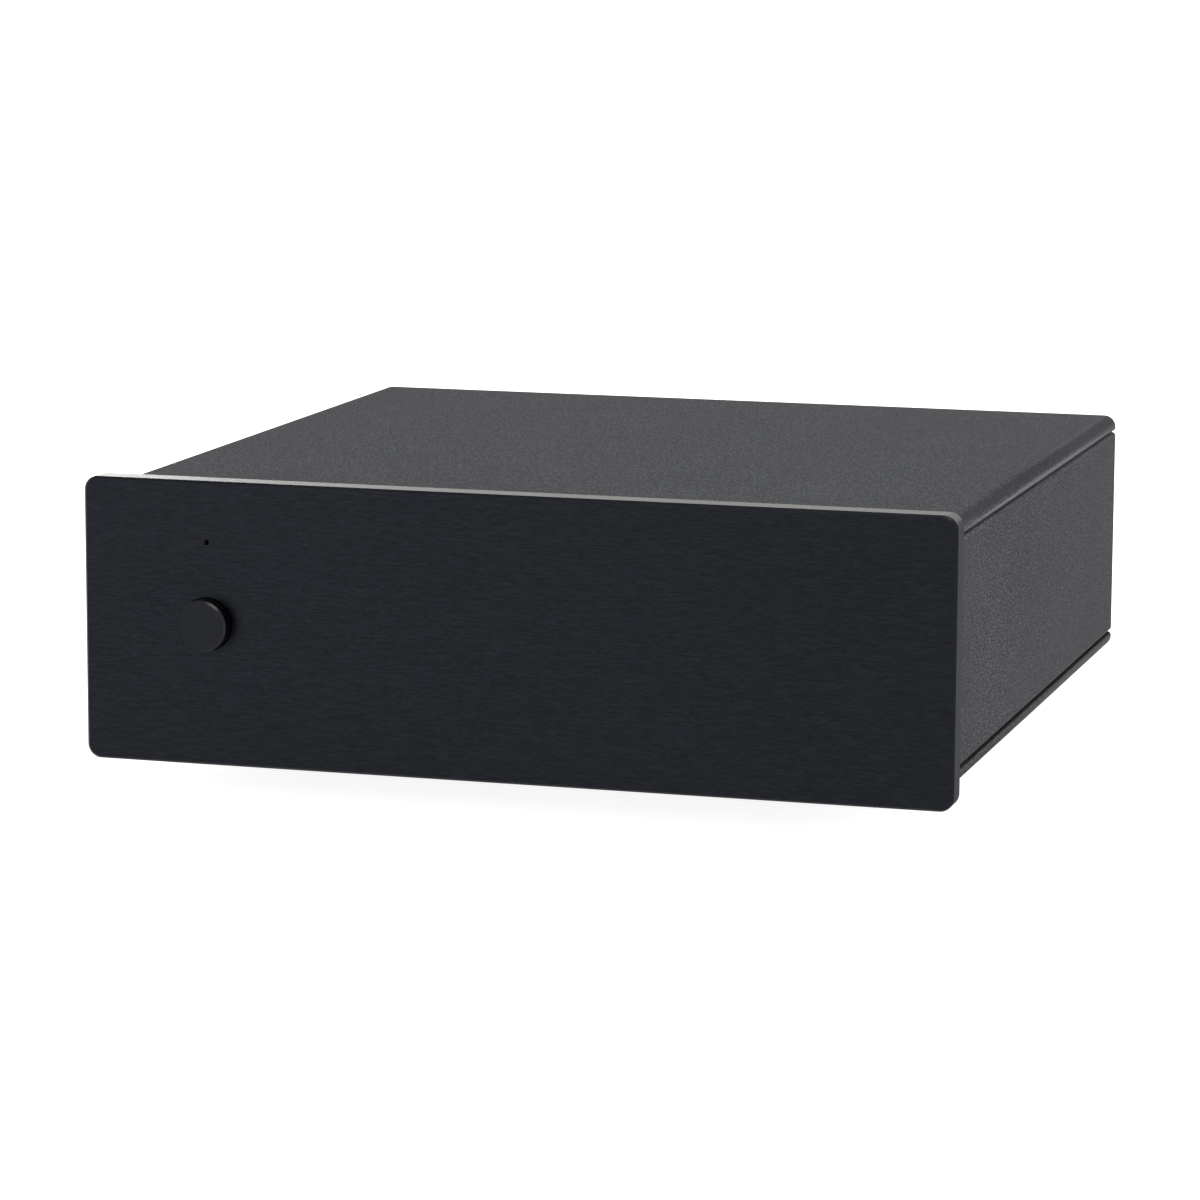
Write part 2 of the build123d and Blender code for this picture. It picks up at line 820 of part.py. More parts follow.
def make_dc_jack_pin():
    """Centre pin on a thicker root, with a tail to the board."""
    back = rear_inner_y - inlet_depth - inlet_wall_pin
    length = rear_face_y - inlet_pin_recess - back
    pin = rod(inlet_pin, length)
    pin = chamfer(pin.edges().group_by(Axis.Z)[-1], inlet_pin / 2)
    pin += rod(inlet_pin_root, rear_face_y - inlet_bore_depth - back)
    pin = Pos(inlet_x, back, jack_z) * REARWARD * pin
    return pin + tail(inlet_x, inlet_tail_y(), jack_z)


# -------------------------------------------------------------------------------------- earth terminal
def make_ground_stud():
    """Threaded stud with a round collar against the rear panel."""
    outside = rear_recess + stud_reach
    stud = rod(stud_radius, outside) + rod(stud_collar_radius, stud_collar)
    stud = chamfer(stud.edges().group_by(Axis.Z)[-1], stud_chamfer)
    inside = rear_panel_thickness + stud_inside
    stud += Pos(0, 0, -inside) * rod(stud_radius, inside)
    return Pos(terminal_x, rear_face_y, jack_z) * REARWARD * stud


def make_ground_washer():
    seat = rear_face_y + stud_collar + terminal_gap
    washer = tube(washer_radius, stud_radius + running_gap, washer_thickness)
    return Pos(terminal_x, seat, jack_z) * REARWARD * washer


def knurled_outline(radius):
    """A ring of sharp teeth, as a closed outline."""
    points = []
    for index in range(2 * knurl_teeth):
        angle = math.pi * index / knurl_teeth
        reach = radius - (index % 2) * knurl_depth
        points.append((reach * math.cos(angle), reach * math.sin(angle)))
    return make_face(Polyline(*points, close=True))


def make_ground_thumb_nut():
    """Knurled nut with a plain waist on its outer end."""
    seat = rear_face_y + stud_collar + washer_thickness + 2 * terminal_gap
    grip = thumb_nut_length - thumb_nut_waist_length
    nut = extrude(knurled_outline(thumb_nut_radius), amount=grip)
    waist = Pos(0, 0, grip) * rod(thumb_nut_waist, thumb_nut_waist_length)
    nut += chamfer(waist.edges().group_by(Axis.Z)[-1], stud_chamfer)
    nut -= rod(stud_radius + running_gap, thumb_nut_length)
    return Pos(terminal_x, seat, jack_z) * REARWARD * nut


def make_ground_solder_tag():
    """Ring tag under the inner nut, with a tail down to the board."""
    ring = tube(tag_radius, stud_radius + thread_gap, tag_thickness)
    ring = Pos(terminal_x, rear_inner_y, jack_z) * FORWARD * ring
    foot = jack_z - (tag_radius + stud_radius) / 2
    return ring + tail(terminal_x, rear_inner_y - tag_thickness / 2, foot)


def make_ground_inner_nut():
    corner = inner_nut_flat / math.cos(math.pi / 6)
    nut = extrude(RegularPolygon(corner, 6), amount=inner_nut_thickness)
    nut -= rod(stud_radius + thread_gap, inner_nut_thickness)
    return Pos(terminal_x, rear_inner_y - tag_thickness, jack_z) * FORWARD * nut


# ------------------------------------------------------------------------------------ setting switches
def dip_slot_places(middle):
    """Places in x of the slots of one block."""
    first = middle - (dip_ways - 1) * pin_pitch / 2
    for index in range(dip_ways):
        yield first + index * pin_pitch


def make_dip_bodies():
    """Two blocks under the board, slots facing down."""
    for middle in both_sides(dip_x):
        half = dip_length / 2
        wide = dip_width / 2
        body = block(
            middle - half, middle + half, dip_y - wide, dip_y + wide, dip_face_z, board_low_z
        )
        for x in dip_slot_places(middle):
            body -= block(
                x - dip_slot_width / 2,
                x + dip_slot_width / 2,
                dip_y - dip_slot_length / 2,
                dip_y + dip_slot_length / 2,
                dip_face_z,
                dip_face_z + dip_slot_depth,
            )
        yield body


def make_dip_leads():
    """Flat leads beside the blocks, each with its foot on the board."""
    for middle in both_sides(dip_x):
        for x in dip_slot_places(middle):
            for side in (1, -1):
                near = dip_y + side * dip_width / 2
                far = near + side * dip_lead_thick
                tip = near + side * dip_lead_reach
                half = dip_lead_width / 2
                drop = dip_height / 2
                leg_y = sorted((near, far))
                leg = block(x - half, x + half, *leg_y, board_low_z - drop, board_low_z)
                toe_y = sorted((near, tip))
                toe_low = board_low_z - dip_lead_thick
                yield leg + block(x - half, x + half, *toe_y, toe_low, board_low_z)


def make_dip_slider(x):
    """One slider at the front end of its slot."""
    front = dip_y - dip_slot_length / 2 + slider_end_gap
    half = slider_width / 2
    top = dip_face_z + dip_slot_depth - slider_gap
    slider = block(
        x - half, x + half, front, front + slider_length, dip_face_z - slider_proud, top
    )
    return chamfer(slider.edges().group_by(Axis.Z)[0], slider_gap)


# ------------------------------------------------------------------------------------- circuit board
def make_main_board():
    board = block(-board_half, board_half, board_front_y, board_rear_y, board_low_z, board_top_z)
    for _, x in jack_places():
        board -= tail_hole(x, contact_tail_y())
        board -= tail_hole(x, barrel_tail_y())
    board -= tail_hole(inlet_x, inlet_tail_y())
    half = tail_thick / 2
    tag_y = rear_inner_y - tag_thickness / 2
    board -= tail_hole(terminal_x, tag_y)
    pin_y = front_board_y + board_thickness + tail_below + tail_width / 2 - half
    for x in front_board_pin_places():
        board -= tail_hole(x, pin_y)
    return board


def on_board(x, y):
    """A place on top of the main board, y counted back from the board's front edge."""
    return Pos(x, board_front_y + y, board_top_z)


def standing_box(size):
    """A box that stands on its own origin."""
    return Box(*size, align=(Align.CENTER, Align.CENTER, Align.MIN))


def make_supply_capacitors():
    """A row of cans, each with a crimped groove near the foot."""
    for index in range(capacitor_count):
        x = capacitor_from_side - half_width + index * capacitor_pitch
        can = rod(capacitor_radius, capacitor_height)
        can = chamfer(can.edges().group_by(Axis.Z)[-1], capacitor_crimp)
        groove = tube(capacitor_radius, capacitor_radius - capacitor_crimp, 2 * capacitor_crimp)
        can -= Pos(0, 0, 4 * capacitor_crimp) * groove
        yield on_board(x, capacitor_y) * can


def make_film_capacitors():
    """Boxed film capacitors in rows."""
    for row in range(film_rows):
        for column in range(film_columns):
            x = half_width - film_from_side - column * film_pitch
            can = standing_box(film_size)
            can = chamfer(can.edges().group_by(Axis.Z)[-1], capacitor_crimp)
            yield on_board(x, film_y + row * film_row_pitch) * can


def make_amplifier_chips():
    """Small amplifier packages, each on eight legs."""
    length, width, height = chip_size
    for index in range(chip_count):
        x = half_width - chip_from_side - index * chip_pitch
        body = Pos(0, 0, chip_standoff) * standing_box((length, width, height))
        for leg in range(4):
            foot = standing_box((chip_leg, width + 4 * chip_leg, chip_standoff + chip_leg))
            body += Pos((leg - 1.5) * pin_pitch / 2, 0, 0) * foot
        yield on_board(x, chip_y) * body


def make_muting_relays():
    for index in range(relay_count):
        x = half_width - relay_from_side - index * relay_pitch
        case = standing_box(relay_size)
        yield on_board(x, relay_y) * chamfer(case.edges().filter_by(Axis.Z), capacitor_crimp)


def make_signal_resistors():
    """Small chip resistors."""
    for row in range(resistor_rows):
        for column in range(resistor_columns):
            x = half_width - resistor_from_side - column * resistor_pitch
            y = resistor_y + row * resistor_row_pitch
            yield on_board(x, y) * standing_box(resistor_size)


def regulator_places():
    """Places in y of the two regulators along the heat sink."""
    middle = board_front_y + sink_from_front + sink_length / 2
    for side in (1, -1):
        yield middle + side * sink_length / 4


def regulator_hole_z():
    """Height of the regulators' fixing holes."""
    return board_top_z + regulator_lift + regulator_size[2] - regulator_hole_drop


def make_regulator_heat_sink():
    """Extruded comb: an upright base with fins on one side."""
    comb = bar(sink_x - sink_base, sink_x, board_top_z, board_top_z + sink_height)
    pitch = (sink_height - sink_fin) / (sink_fins - 1)
    for index in range(sink_fins):
        low = board_top_z + index * pitch
        comb += bar(sink_x, sink_x + sink_depth, low, low + sink_fin)
    sink = along_y(comb, board_front_y + sink_from_front, sink_length)
    for y in regulator_places():
        hole = rod(screw_radius + thread_gap, sink_base)
        sink -= Pos(sink_x - sink_base, y, regulator_hole_z()) * Rot(0, 90, 0) * hole
    return sink


def make_voltage_regulators():
    """Two regulators, flat against the heat sink's base, each on three legs."""
    width, thick, height = regulator_size
    back = sink_x - sink_base
    low = board_top_z + regulator_lift
    half_leg = regulator_leg / 2
    leg_x = back - thick / 2
    for y in regulator_places():
        body = block(back - thick, back, y - width / 2, y + width / 2, low, low + height)
        hole = rod(screw_radius + thread_gap, thick)
        body -= Pos(back - thick, y, regulator_hole_z()) * Rot(0, 90, 0) * hole
        for index in (-1, 0, 1):
            leg_y = y + index * pin_pitch
            body += block(
                leg_x - half_leg,
                leg_x + half_leg,
                leg_y - half_leg,
                leg_y + half_leg,
                board_top_z,
                low,
            )
        yield body


def make_regulator_screws():
    length = regulator_size[1] + sink_base
    for y in regulator_places():
        face = sink_x - sink_base - regulator_size[1]
        yield Pos(face, y, regulator_hole_z()) * Rot(0, -90, 0) * cap_screw(length)


# --------------------------------------------------------------------------------------- all the nodes
def make_parts():
    """Every node's shape by name."""
    parts = {
        "front_plate": make_front_plate(),
        "inner_front_panel": make_inner_front_panel(),
        "left_rail": make_left_rail(),
        "right_rail": make_right_rail(),
        "top_cover": make_top_cover(),
        "base_cover": make_base_cover(),
        "rear_panel": make_rear_panel(),
        "front_plate_screws": group(make_front_plate_screws()),
        "inner_panel_screws": group(make_inner_panel_screws()),
        "rear_panel_screws": group(make_rear_panel_screws()),
        "foot_screws": group(make_foot_screws()),
        "power_button": make_power_button(),
        "switch_plunger": make_switch_plunger(),
        "switch_spring": make_switch_spring(),
        "switch_body": make_switch_body(),
        "front_board": make_front_board(),
        "front_board_pins": group(make_front_board_pins()),
        "status_led": make_status_led(),
        "led_spacer": make_led_spacer(),
        "main_board": make_main_board(),
        "supply_capacitors": group(make_supply_capacitors()),
        "film_capacitors": group(make_film_capacitors()),
        "amplifier_chips": group(make_amplifier_chips()),
        "muting_relays": group(make_muting_relays()),
        "signal_resistors": group(make_signal_resistors()),
        "voltage_regulators": group(make_voltage_regulators()),
        "regulator_heat_sink": make_regulator_heat_sink(),
        "regulator_screws": group(make_regulator_screws()),
        "input_socket_block": make_socket_block(input_x),
        "output_socket_block": make_socket_block(output_x),
        "socket_block_screws": group(make_socket_block_screws()),
        "jack_barrels": group(make_jack_barrels()),
        "left_jack_insulators": group(make_jack_insulators("left")),
        "right_jack_insulators": group(make_jack_insulators("right")),
        "jack_contacts": group(make_jack_contacts()),
        "dc_jack_body": make_dc_jack_body(),
        "dc_jack_pin": make_dc_jack_pin(),
        "ground_stud": make_ground_stud(),
        "ground_solder_tag": make_ground_solder_tag(),
        "ground_inner_nut": make_ground_inner_nut(),
        "ground_washer": make_ground_washer(),
        "ground_thumb_nut": make_ground_thumb_nut(),
        "dip_bodies": group(make_dip_bodies()),
        "dip_leads": group(make_dip_leads()),
    }
    for name, x, y in foot_places():
        parts[name] = make_foot(x, y)
    for channel, middle in (("left", dip_x), ("right", -dip_x)):
        for number, x in enumerate(dip_slot_places(middle), start=1):
            parts[f"{channel}_dip_slider_{number}"] = make_dip_slider(x)
    return parts


os.makedirs("parts", exist_ok=True)
for name, shape in make_parts().items():
    export_step(shape, f"parts/{name}.step")
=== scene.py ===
"""Looks of a palm-size phono preamplifier: finishes, fine metal detail, studio and camera.

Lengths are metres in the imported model's frame: X to the right, Y to the rear, Z up.
"""

import logging
import math
from collections.abc import Callable, Iterable, Mapping
from dataclasses import dataclass
from enum import Enum

import bmesh
import bpy
from mathutils import Matrix, Vector


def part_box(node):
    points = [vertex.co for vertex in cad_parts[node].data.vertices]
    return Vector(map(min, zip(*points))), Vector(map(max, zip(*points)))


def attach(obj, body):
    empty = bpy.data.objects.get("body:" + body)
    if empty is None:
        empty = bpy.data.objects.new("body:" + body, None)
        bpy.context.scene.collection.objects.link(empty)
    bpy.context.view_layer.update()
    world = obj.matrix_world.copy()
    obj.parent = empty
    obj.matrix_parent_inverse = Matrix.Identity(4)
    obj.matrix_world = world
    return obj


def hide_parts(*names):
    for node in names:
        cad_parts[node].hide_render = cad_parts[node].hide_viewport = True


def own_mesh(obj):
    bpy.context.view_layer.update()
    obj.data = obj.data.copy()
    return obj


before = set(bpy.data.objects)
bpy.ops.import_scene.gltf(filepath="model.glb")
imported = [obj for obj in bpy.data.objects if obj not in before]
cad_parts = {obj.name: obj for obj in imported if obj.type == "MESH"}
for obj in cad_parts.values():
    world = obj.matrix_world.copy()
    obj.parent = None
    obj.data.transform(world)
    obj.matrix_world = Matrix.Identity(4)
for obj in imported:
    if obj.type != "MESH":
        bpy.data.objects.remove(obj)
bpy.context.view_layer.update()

log = logging.getLogger("preamp")

Mesh = bmesh.types.BMesh
Colour = tuple[float, float, float, float]
# The middle and the width of a soft step.
Step = tuple[float, float]

MM = 0.001
WEAR_STEP: Step = (0.93, 0.12)
WEAR_SAMPLES = 4
# Whole pitches added before a coordinate is folded, so that it stays above zero.
ROW_SHIFT = 40
# Degrees of turn above which an edge of the solids is broken, and the faces across it.
SHARP_TURN = 40.0
BROKEN_FACES = 2
JOIN_WITHIN = 0.001 * MM
UPRIGHT = {"cent": (0, 0, 0), "axis": (0, 0, 1)}


def shade(level: float, red: float = 1.0, green: float = 1.0, blue: float = 1.0) -> Colour:
    """A grey of one linear level, tinted by its factors on red, green and blue."""
    return (level * red, level * green, level * blue, 1.0)


def scaled(colour: Colour, factor: float, lift: float = 0.0) -> Colour:
    """A colour with its parts multiplied by a factor, then lifted, and held at 1."""
    red, green, blue = (min(1.0, part * factor + lift) for part in colour[:3])
    return (red, green, blue, 1.0)


# ------------ shader maths
class Signal:
    """A number inside a node tree, on which plain arithmetic adds Math nodes."""

    def __init__(self, bench: "Bench", socket: bpy.types.NodeSocket) -> None:
        """Wraps one output socket of a bench's tree."""
        self.bench = bench
        self.socket = socket

    def join(self, operation: str, *terms: "Term") -> "Signal":
        """The value of a new Math node with some terms as its inputs."""
        made = self.bench.node("ShaderNodeMath", {"operation": operation}, dict(enumerate(terms)))
        return Signal(self.bench, made.outputs[0])

    def __add__(self, other: "Term") -> "Signal":
        """self + other."""
        return self.join("ADD", self, other)

    def __radd__(self, other: float) -> "Signal":
        """other + self."""
        return self.join("ADD", other, self)

    def __sub__(self, other: "Term") -> "Signal":
        """self - other."""
        return self.join("SUBTRACT", self, other)

    def __rsub__(self, other: float) -> "Signal":
        """other - self."""
        return self.join("SUBTRACT", other, self)

    def __mul__(self, other: "Term") -> "Signal":
        """self * other."""
        return self.join("MULTIPLY", self, other)

    def __abs__(self) -> "Signal":
        """The size of self without its sign."""
        return self.join("ABSOLUTE", self)

    def above(self, edge: float, width: float) -> "Signal":
        """1 past an edge and 0 before it, with a ramp between.

        Args:
            edge: value at the middle of the ramp.
            width: how wide the ramp is.

        Returns:
            The ramp, held between 0 and 1.
        """
        made = self.bench.node(
            "ShaderNodeMapRange",
            {"interpolation_type": "SMOOTHSTEP", "clamp": True},
            {"Value": self, "From Min": edge - width / 2, "From Max": edge + width / 2},
        )
        return Signal(self.bench, made.outputs[0])

    def below(self, edge: float, width: float) -> "Signal":
        """1 before an edge and 0 past it."""
        return 1 - self.above(edge, width)

    def larger(self, other: "Term") -> "Signal":
        """The larger of two values."""
        return self.join("MAXIMUM", self, other)

    def smaller(self, other: "Term") -> "Signal":
        """The smaller of two values."""
        return self.join("MINIMUM", self, other)

    def folded(self, pitch: float) -> "Signal":
        """The distance to the nearest multiple of a pitch."""
        return self.join("PINGPONG", self, pitch / 2)

    def root(self) -> "Signal":
        """The square root of self."""
        return self.join("SQRT", self)


Term = Signal | float


class Bench:
    """The node tree of one material, and the one way to add nodes to it."""

    def __init__(self, name: str, **constants: object) -> None:
        """Makes an empty material with a Principled shader.

        Args:
            name: the material's name.
            constants: values for the shader's sockets, with underscores for spaces.
        """
        self.material = bpy.data.materials.new(name)
        self.material.use_nodes = True
        self.tree = self.material.node_tree
        self.tree.nodes.clear()
        values = {key.replace("_", " "): value for key, value in constants.items()}
        self.shader = self.node("ShaderNodeBsdfPrincipled", {}, values)
        output = self.node("ShaderNodeOutputMaterial")
        self.tree.links.new(self.shader.outputs[0], output.inputs["Surface"])
        self.place = self.node("ShaderNodeTexCoord").outputs["Object"]
        self.x, self.y, self.z = self.split(self.place)

    def node(
        self,
        kind: str,
        settings: Mapping[str, object] | None = None,
        values: Mapping[str | int, object] | None = None,
    ) -> bpy.types.Node:
        """Adds a node.

        Args:
            kind: the node's type.
            settings: its properties, set before its sockets.
            values: numbers, colours, signals or sockets for its inputs, by name or number.

        Returns:
            The new node.
        """
        made = self.tree.nodes.new(kind)
        for name, setting in (settings or {}).items():
            setattr(made, name, setting)
        for key, value in (values or {}).items():
            if isinstance(value, Signal):
                value = value.socket
            if isinstance(value, bpy.types.NodeSocket):
                self.tree.links.new(value, made.inputs[key])
            else:
                made.inputs[key].default_value = value
        return made

    def split(self, vector: bpy.types.NodeSocket) -> tuple[Signal, ...]:
        """A vector's three parts."""
        made = self.node("ShaderNodeSeparateXYZ", {}, {0: vector})
        return tuple(Signal(self, socket) for socket in made.outputs)

    def facing(self) -> tuple[Signal, ...]:
        """The surface normal's parts along the object's own axes."""
        return self.split(self.node("ShaderNodeTexCoord").outputs["Normal"])

    def stretched(self, *lengths: float) -> bpy.types.NodeSocket:
        """Object coordinates with X, Y and Z each counted in its own length."""
        values = {0: self.place, 1: tuple(1 / length for length in lengths)}
        return self.node("ShaderNodeVectorMath", {"operation": "MULTIPLY"}, values).outputs[0]

    def noise(self, x: float, y: float, z: float, detail: float = 2.0) -> Signal:
        """Noise, from 0 to 1, whose blobs have the given lengths along the axes."""
        values = {"Vector": self.stretched(x, y, z), "Scale": 1.0, "Detail": detail}
        return Signal(self, self.node("ShaderNodeTexNoise", {}, values).outputs[0])

    def blobs(self, size: float, detail: float = 2.0) -> Signal:
        """Noise, from 0 to 1, whose blobs are equally long along every axis."""
        return self.noise(size, size, size, detail)

    def cells(self, size: float) -> Signal:
        """Distance to the middle of the nearest of many grains, in grain sizes."""
        values = {"Vector": self.stretched(size, size, size), "Scale": 1.0}
        return Signal(self, self.node("ShaderNodeTexVoronoi", {}, values).outputs[0])

    def beside(self, first: float, pitch: float) -> Signal:
        """How far X is from the nearest middle in a row with one at first."""
        return (self.x - first + pitch * ROW_SHIFT).folded(pitch)

    def edges(self, radius: float) -> Signal:
        """Finds convex and concave edges.

        Args:
            radius: how far an edge reaches.

        Returns:
            1 on edges and 0 on flat faces.
        """
        soft = self.node("ShaderNodeBevel", {"samples": WEAR_SAMPLES}, {"Radius": radius}).outputs[0]
        hard = self.node("ShaderNodeNewGeometry").outputs["Normal"]
        made = self.node("ShaderNodeVectorMath", {"operation": "DOT_PRODUCT"}, {0: soft, 1: hard})
        return Signal(self, made.outputs["Value"]).below(*WEAR_STEP)

    def mix(self, factor: Term, first: object, second: object) -> bpy.types.NodeSocket:
        """A mix of two colours or colour sockets: the first at a factor of 0, the second at 1."""
        settings = {"data_type": "RGBA", "clamp_factor": True}
        return self.node("ShaderNodeMix", settings, {0: factor, 6: first, 7: second}).outputs[2]

    def wire(self, socket: str, value: object) -> None:
        """Feeds a signal or colour into one of the shader's sockets."""
        source = value.socket if isinstance(value, Signal) else value
        self.tree.links.new(source, self.shader.inputs[socket])

    def roughen(self, level: Term, *layers: tuple[Signal, float]) -> None:
        """Feeds a roughness that patterns push up and down.

        Args:
            level: its middle.
            layers: pairs of a pattern from 0 to 1 and how far it moves the roughness in all.
        """
        for pattern, reach in layers:
            level = (pattern - 0.5) * reach + level
        self.wire("Roughness", level)

    def bump(self, *layers: tuple[Signal, float]) -> None:
        """Raises the surface.

        Args:
            layers: pairs of a height from 0 to 1 and what a height of 1 measures.
        """
        total = None
        for height, size in layers:
            part = height * (size / MM)
            total = part if total is None else total + part
        made = self.node("ShaderNodeBump", {}, {"Strength": 1.0, "Distance": MM, "Height": total})
        self.wire("Normal", made.outputs["Normal"])


# ------------ finishes
@dataclass(frozen=True)
class Finish:
    """A surface finish that can make its own material."""

    name: str

    def lay(self) -> Bench:
        """Builds the node tree; each finish has its own."""
        raise NotImplementedError

    def material(self) -> bpy.types.Material:
        """The finish as a material."""
        return self.lay().material


@dataclass(frozen=True)
class BrushedPlate(Finish):
    """Black anodised plate, brushed along its width, with milled edges."""

    face: Colour = shade(0.0088, 0.90, 0.98, 1.20)
    streak: Colour = shade(0.0133, 0.90, 0.98, 1.20)
    # The milled edges come in a lit and a shaded copy: the top and bottom edges shiny metal, the side
    # edges a matt copy that reads darker, painted shade.
    rim: Colour = shade(0.035, 1.02, 1.0, 0.98)
    shaded_flank: Colour = shade(0.034, 0.98, 1.0, 1.05)
    roughness: float = 0.36
    streak_long: float = 2.6 * MM
    streak_tall: float = 0.18 * MM
    streak_step: Step = (0.52, 0.26)
    cloud_long: float = 22 * MM
    cloud_tall: float = 14 * MM
    mill_pitch: float = 0.06 * MM
    mill_long: float = 3 * MM
    mark_depth: float = 0.004 * MM
    side_step: Step = (0.55, 0.3)
    upright_step: Step = (0.5, 0.4)

    def lay(self) -> Bench:
        """Streaks of two lengths on the faces, and fine milling marks on the edges; the side edges
        are a matt copy of the shiny top and bottom edges, painted shade.
        """
        bench = Bench(self.name, Specular_IOR_Level=0.0)
        tall = self.streak_tall
        long = bench.noise(self.streak_long, tall, tall, 1.0)
        short = bench.noise(self.streak_long / 4, tall / 2, tall / 2, 1.0)
        cloud = bench.noise(self.cloud_long, self.cloud_long, self.cloud_tall, 1.0)
        milled = bench.noise(self.mill_pitch, self.mill_long, self.mill_pitch)
        _, turned, up = bench.facing()
        side = abs(turned).below(*self.side_step)
        upright = abs(up).below(*self.upright_step)
        flat = 1 - side
        streaks = (long * 0.4 + short * 0.6).above(*self.streak_step)
        brushed = bench.mix(streaks * 0.85 + cloud * 0.15, self.face, self.streak)
        # Side edges take the matt shaded copy of the edge finish, painted shade; top and bottom edges
        # take the shiny one.
        bench.wire("Base Color", bench.mix(side, brushed, bench.mix(upright, self.rim, self.shaded_flank)))
        bench.wire("Metallic", 1 - side * upright)
        milling = side * (0.04 + upright * 0.2 + (milled - 0.5) * 0.1)
        bench.roughen(self.roughness + milling, (streaks, 0.07), (cloud, 0.05))
        depth = self.mark_depth
        bench.bump((long * flat, depth), (short * flat, 0.75 * depth), (milled * side, depth))
        return bench


@dataclass(frozen=True)
class BlastedShell(Finish):
    """Dark grey anodised extrusion with a fine blasted grain."""

    body: Colour = shade(0.054, 0.98, 1.0, 1.05)
    grain: Colour = shade(0.100, 0.98, 1.0, 1.05)
    # Painted light: the bend colour is painted shade on the rolled edge, the lip colour a painted
    # highlight along the side lip, the groove colour painted shade in the seam.
    bend_shade: Colour = shade(0.040, 0.98, 1.0, 1.04)
    lip: Colour = shade(0.155, 0.98, 1.0, 1.04)
    groove_shade: Colour = shade(0.010, 0.98, 1.0, 1.04)
    bend_shade_share: float = 0.0
    lip_highlight_share: float = 0.0
    groove_shade_share: float = 0.0
    metal: float = 0.55
    edge_tint: Colour = shade(0.17)
    roughness: float = 0.40
    grain_size: float = 0.20 * MM
    grain_long: float = 0.7 * MM
    grain_depth: float = 0.004 * MM
    grain_step: Step = (0.53, 0.14)
    cloud_size: float = 18 * MM
    bend_start: Step = (0.35, 0.3)
    bend_end: Step = (0.93, 0.12)
    lip_step: Step = (0.98, 0.03)
    groove_step: Step = (0.5, 0.3)

    def lay(self) -> Bench:
        """Two sizes of grain and faint clouds, with painted shade on the roll's bend, a painted
        highlight along the lip and painted shade in the seam's groove.
        """
        values = {"Metallic": self.metal, "Specular_IOR_Level": 0.0, "Specular_Tint": self.edge_tint}
        bench = Bench(self.name, **values)
        size, long = self.grain_size, self.grain_long
        coarse = bench.noise(size, long, size, 1.0)
        fine = bench.noise(size / 2, long / 2, size / 2, 1.0)
        cloud = bench.blobs(self.cloud_size)
        speck = (coarse * 0.7 + fine * 0.3).above(*self.grain_step)
        turned, _, up = bench.facing()
        # Masks for the painted shade on the bend, the painted highlight on the lip and the painted
        # shade in the groove.
        bend_shade = up.above(*self.bend_start) * up.below(*self.bend_end) * self.bend_shade_share
        lip = abs(turned).above(*self.lip_step) * self.lip_highlight_share
        groove_shade = up.above(*self.groove_step) * self.groove_shade_share
        tone = bench.mix(speck * 0.85 + (cloud - 0.5) * 0.35, self.body, self.grain)
        tone = bench.mix(groove_shade, tone, self.groove_shade)
        bench.wire("Base Color", bench.mix(lip, bench.mix(bend_shade, tone, self.bend_shade), self.lip))
        bench.roughen(self.roughness, (speck, 0.12), (cloud, 0.08))
        bench.bump((coarse, self.grain_depth), (fine, self.grain_depth / 2))
        return bench


@dataclass(frozen=True)
class SatinPanel(Finish):
    """Sheet panel with a fine satin anodised or mill finish."""

    body: Colour = shade(0.022)
    fleck: Colour = shade(0.032)
    metallic: float = 0.0
    roughness: float = 0.48
    grain_size: float = 0.12 * MM
    grain_depth: float = 0.006 * MM
    roll_long: float = 30 * MM
    roll_tall: float = 0.35 * MM
    cloud_size: float = 15 * MM
    worn_edge: float = 0.15 * MM

    def lay(self) -> Bench:
        """Fine grain, rolling marks along the width and faint clouds."""
        bench = Bench(self.name, Metallic=self.metallic)
        grain = bench.blobs(self.grain_size)
        rolled = bench.noise(self.roll_long, self.roll_long, self.roll_tall)
        cloud = bench.blobs(self.cloud_size)
        worn = bench.edges(self.worn_edge)
        tone = bench.mix(grain * 0.5 + rolled * 0.3 + cloud * 0.2, self.body, self.fleck)
        bench.wire("Base Color", bench.mix(worn * 0.5, tone, scaled(self.fleck, 3.0)))
        bench.roughen(self.roughness, (grain, 0.1), (cloud, 0.12))
        bench.bump((grain, self.grain_depth), (rolled, self.grain_depth / 2))
        return bench


@dataclass(frozen=True)
class TurnedCap(Finish):
    """Black anodised cap with turning rings on its face and a bright bevel."""

    centre: tuple[float, float] = (0.0, 0.0)
    body: Colour = shade(0.0094, 0.9, 0.98, 1.15)
    ring: Colour = shade(0.0140, 0.9, 0.98, 1.15)
    cut: Colour = shade(0.021)
    roughness: float = 0.36
    ring_pitch: float = 0.07 * MM
    ring_depth: float = 0.0012 * MM
    grain_long: float = 0.4 * MM
    grain_size: float = 0.06 * MM
    grain_depth: float = 0.003 * MM
    face_step: Step = (0.9, 0.1)
    bevel_step: Step = (0.35, 0.2)

    def lay(self) -> Bench:
        """Fine rings round the axis, streaks along the wall, and the cut bevel."""
        bench = Bench(self.name, Metallic=1.0)
        across = bench.x - self.centre[0]
        rise = bench.z - self.centre[1]
        reach = (across * across + rise * rise).root()
        _, turned, _ = bench.facing()
        face = abs(turned).above(*self.face_step)
        bevel = abs(turned).above(*self.bevel_step) * (1 - face)
        rings = reach.folded(self.ring_pitch) * (2 / self.ring_pitch)
        grain = bench.noise(self.grain_long, self.grain_size, self.grain_long)
        tone = bench.mix(rings * face * 0.35 + grain * 0.65, self.body, self.ring)
        bench.wire("Base Color", bench.mix(bevel * 0.8, tone, self.cut))
        bench.roughen(self.roughness + face * 0.04 - bevel * 0.08, (grain, 0.12))
        bench.bump((rings * face, self.ring_depth), (grain, self.grain_depth))
        return bench


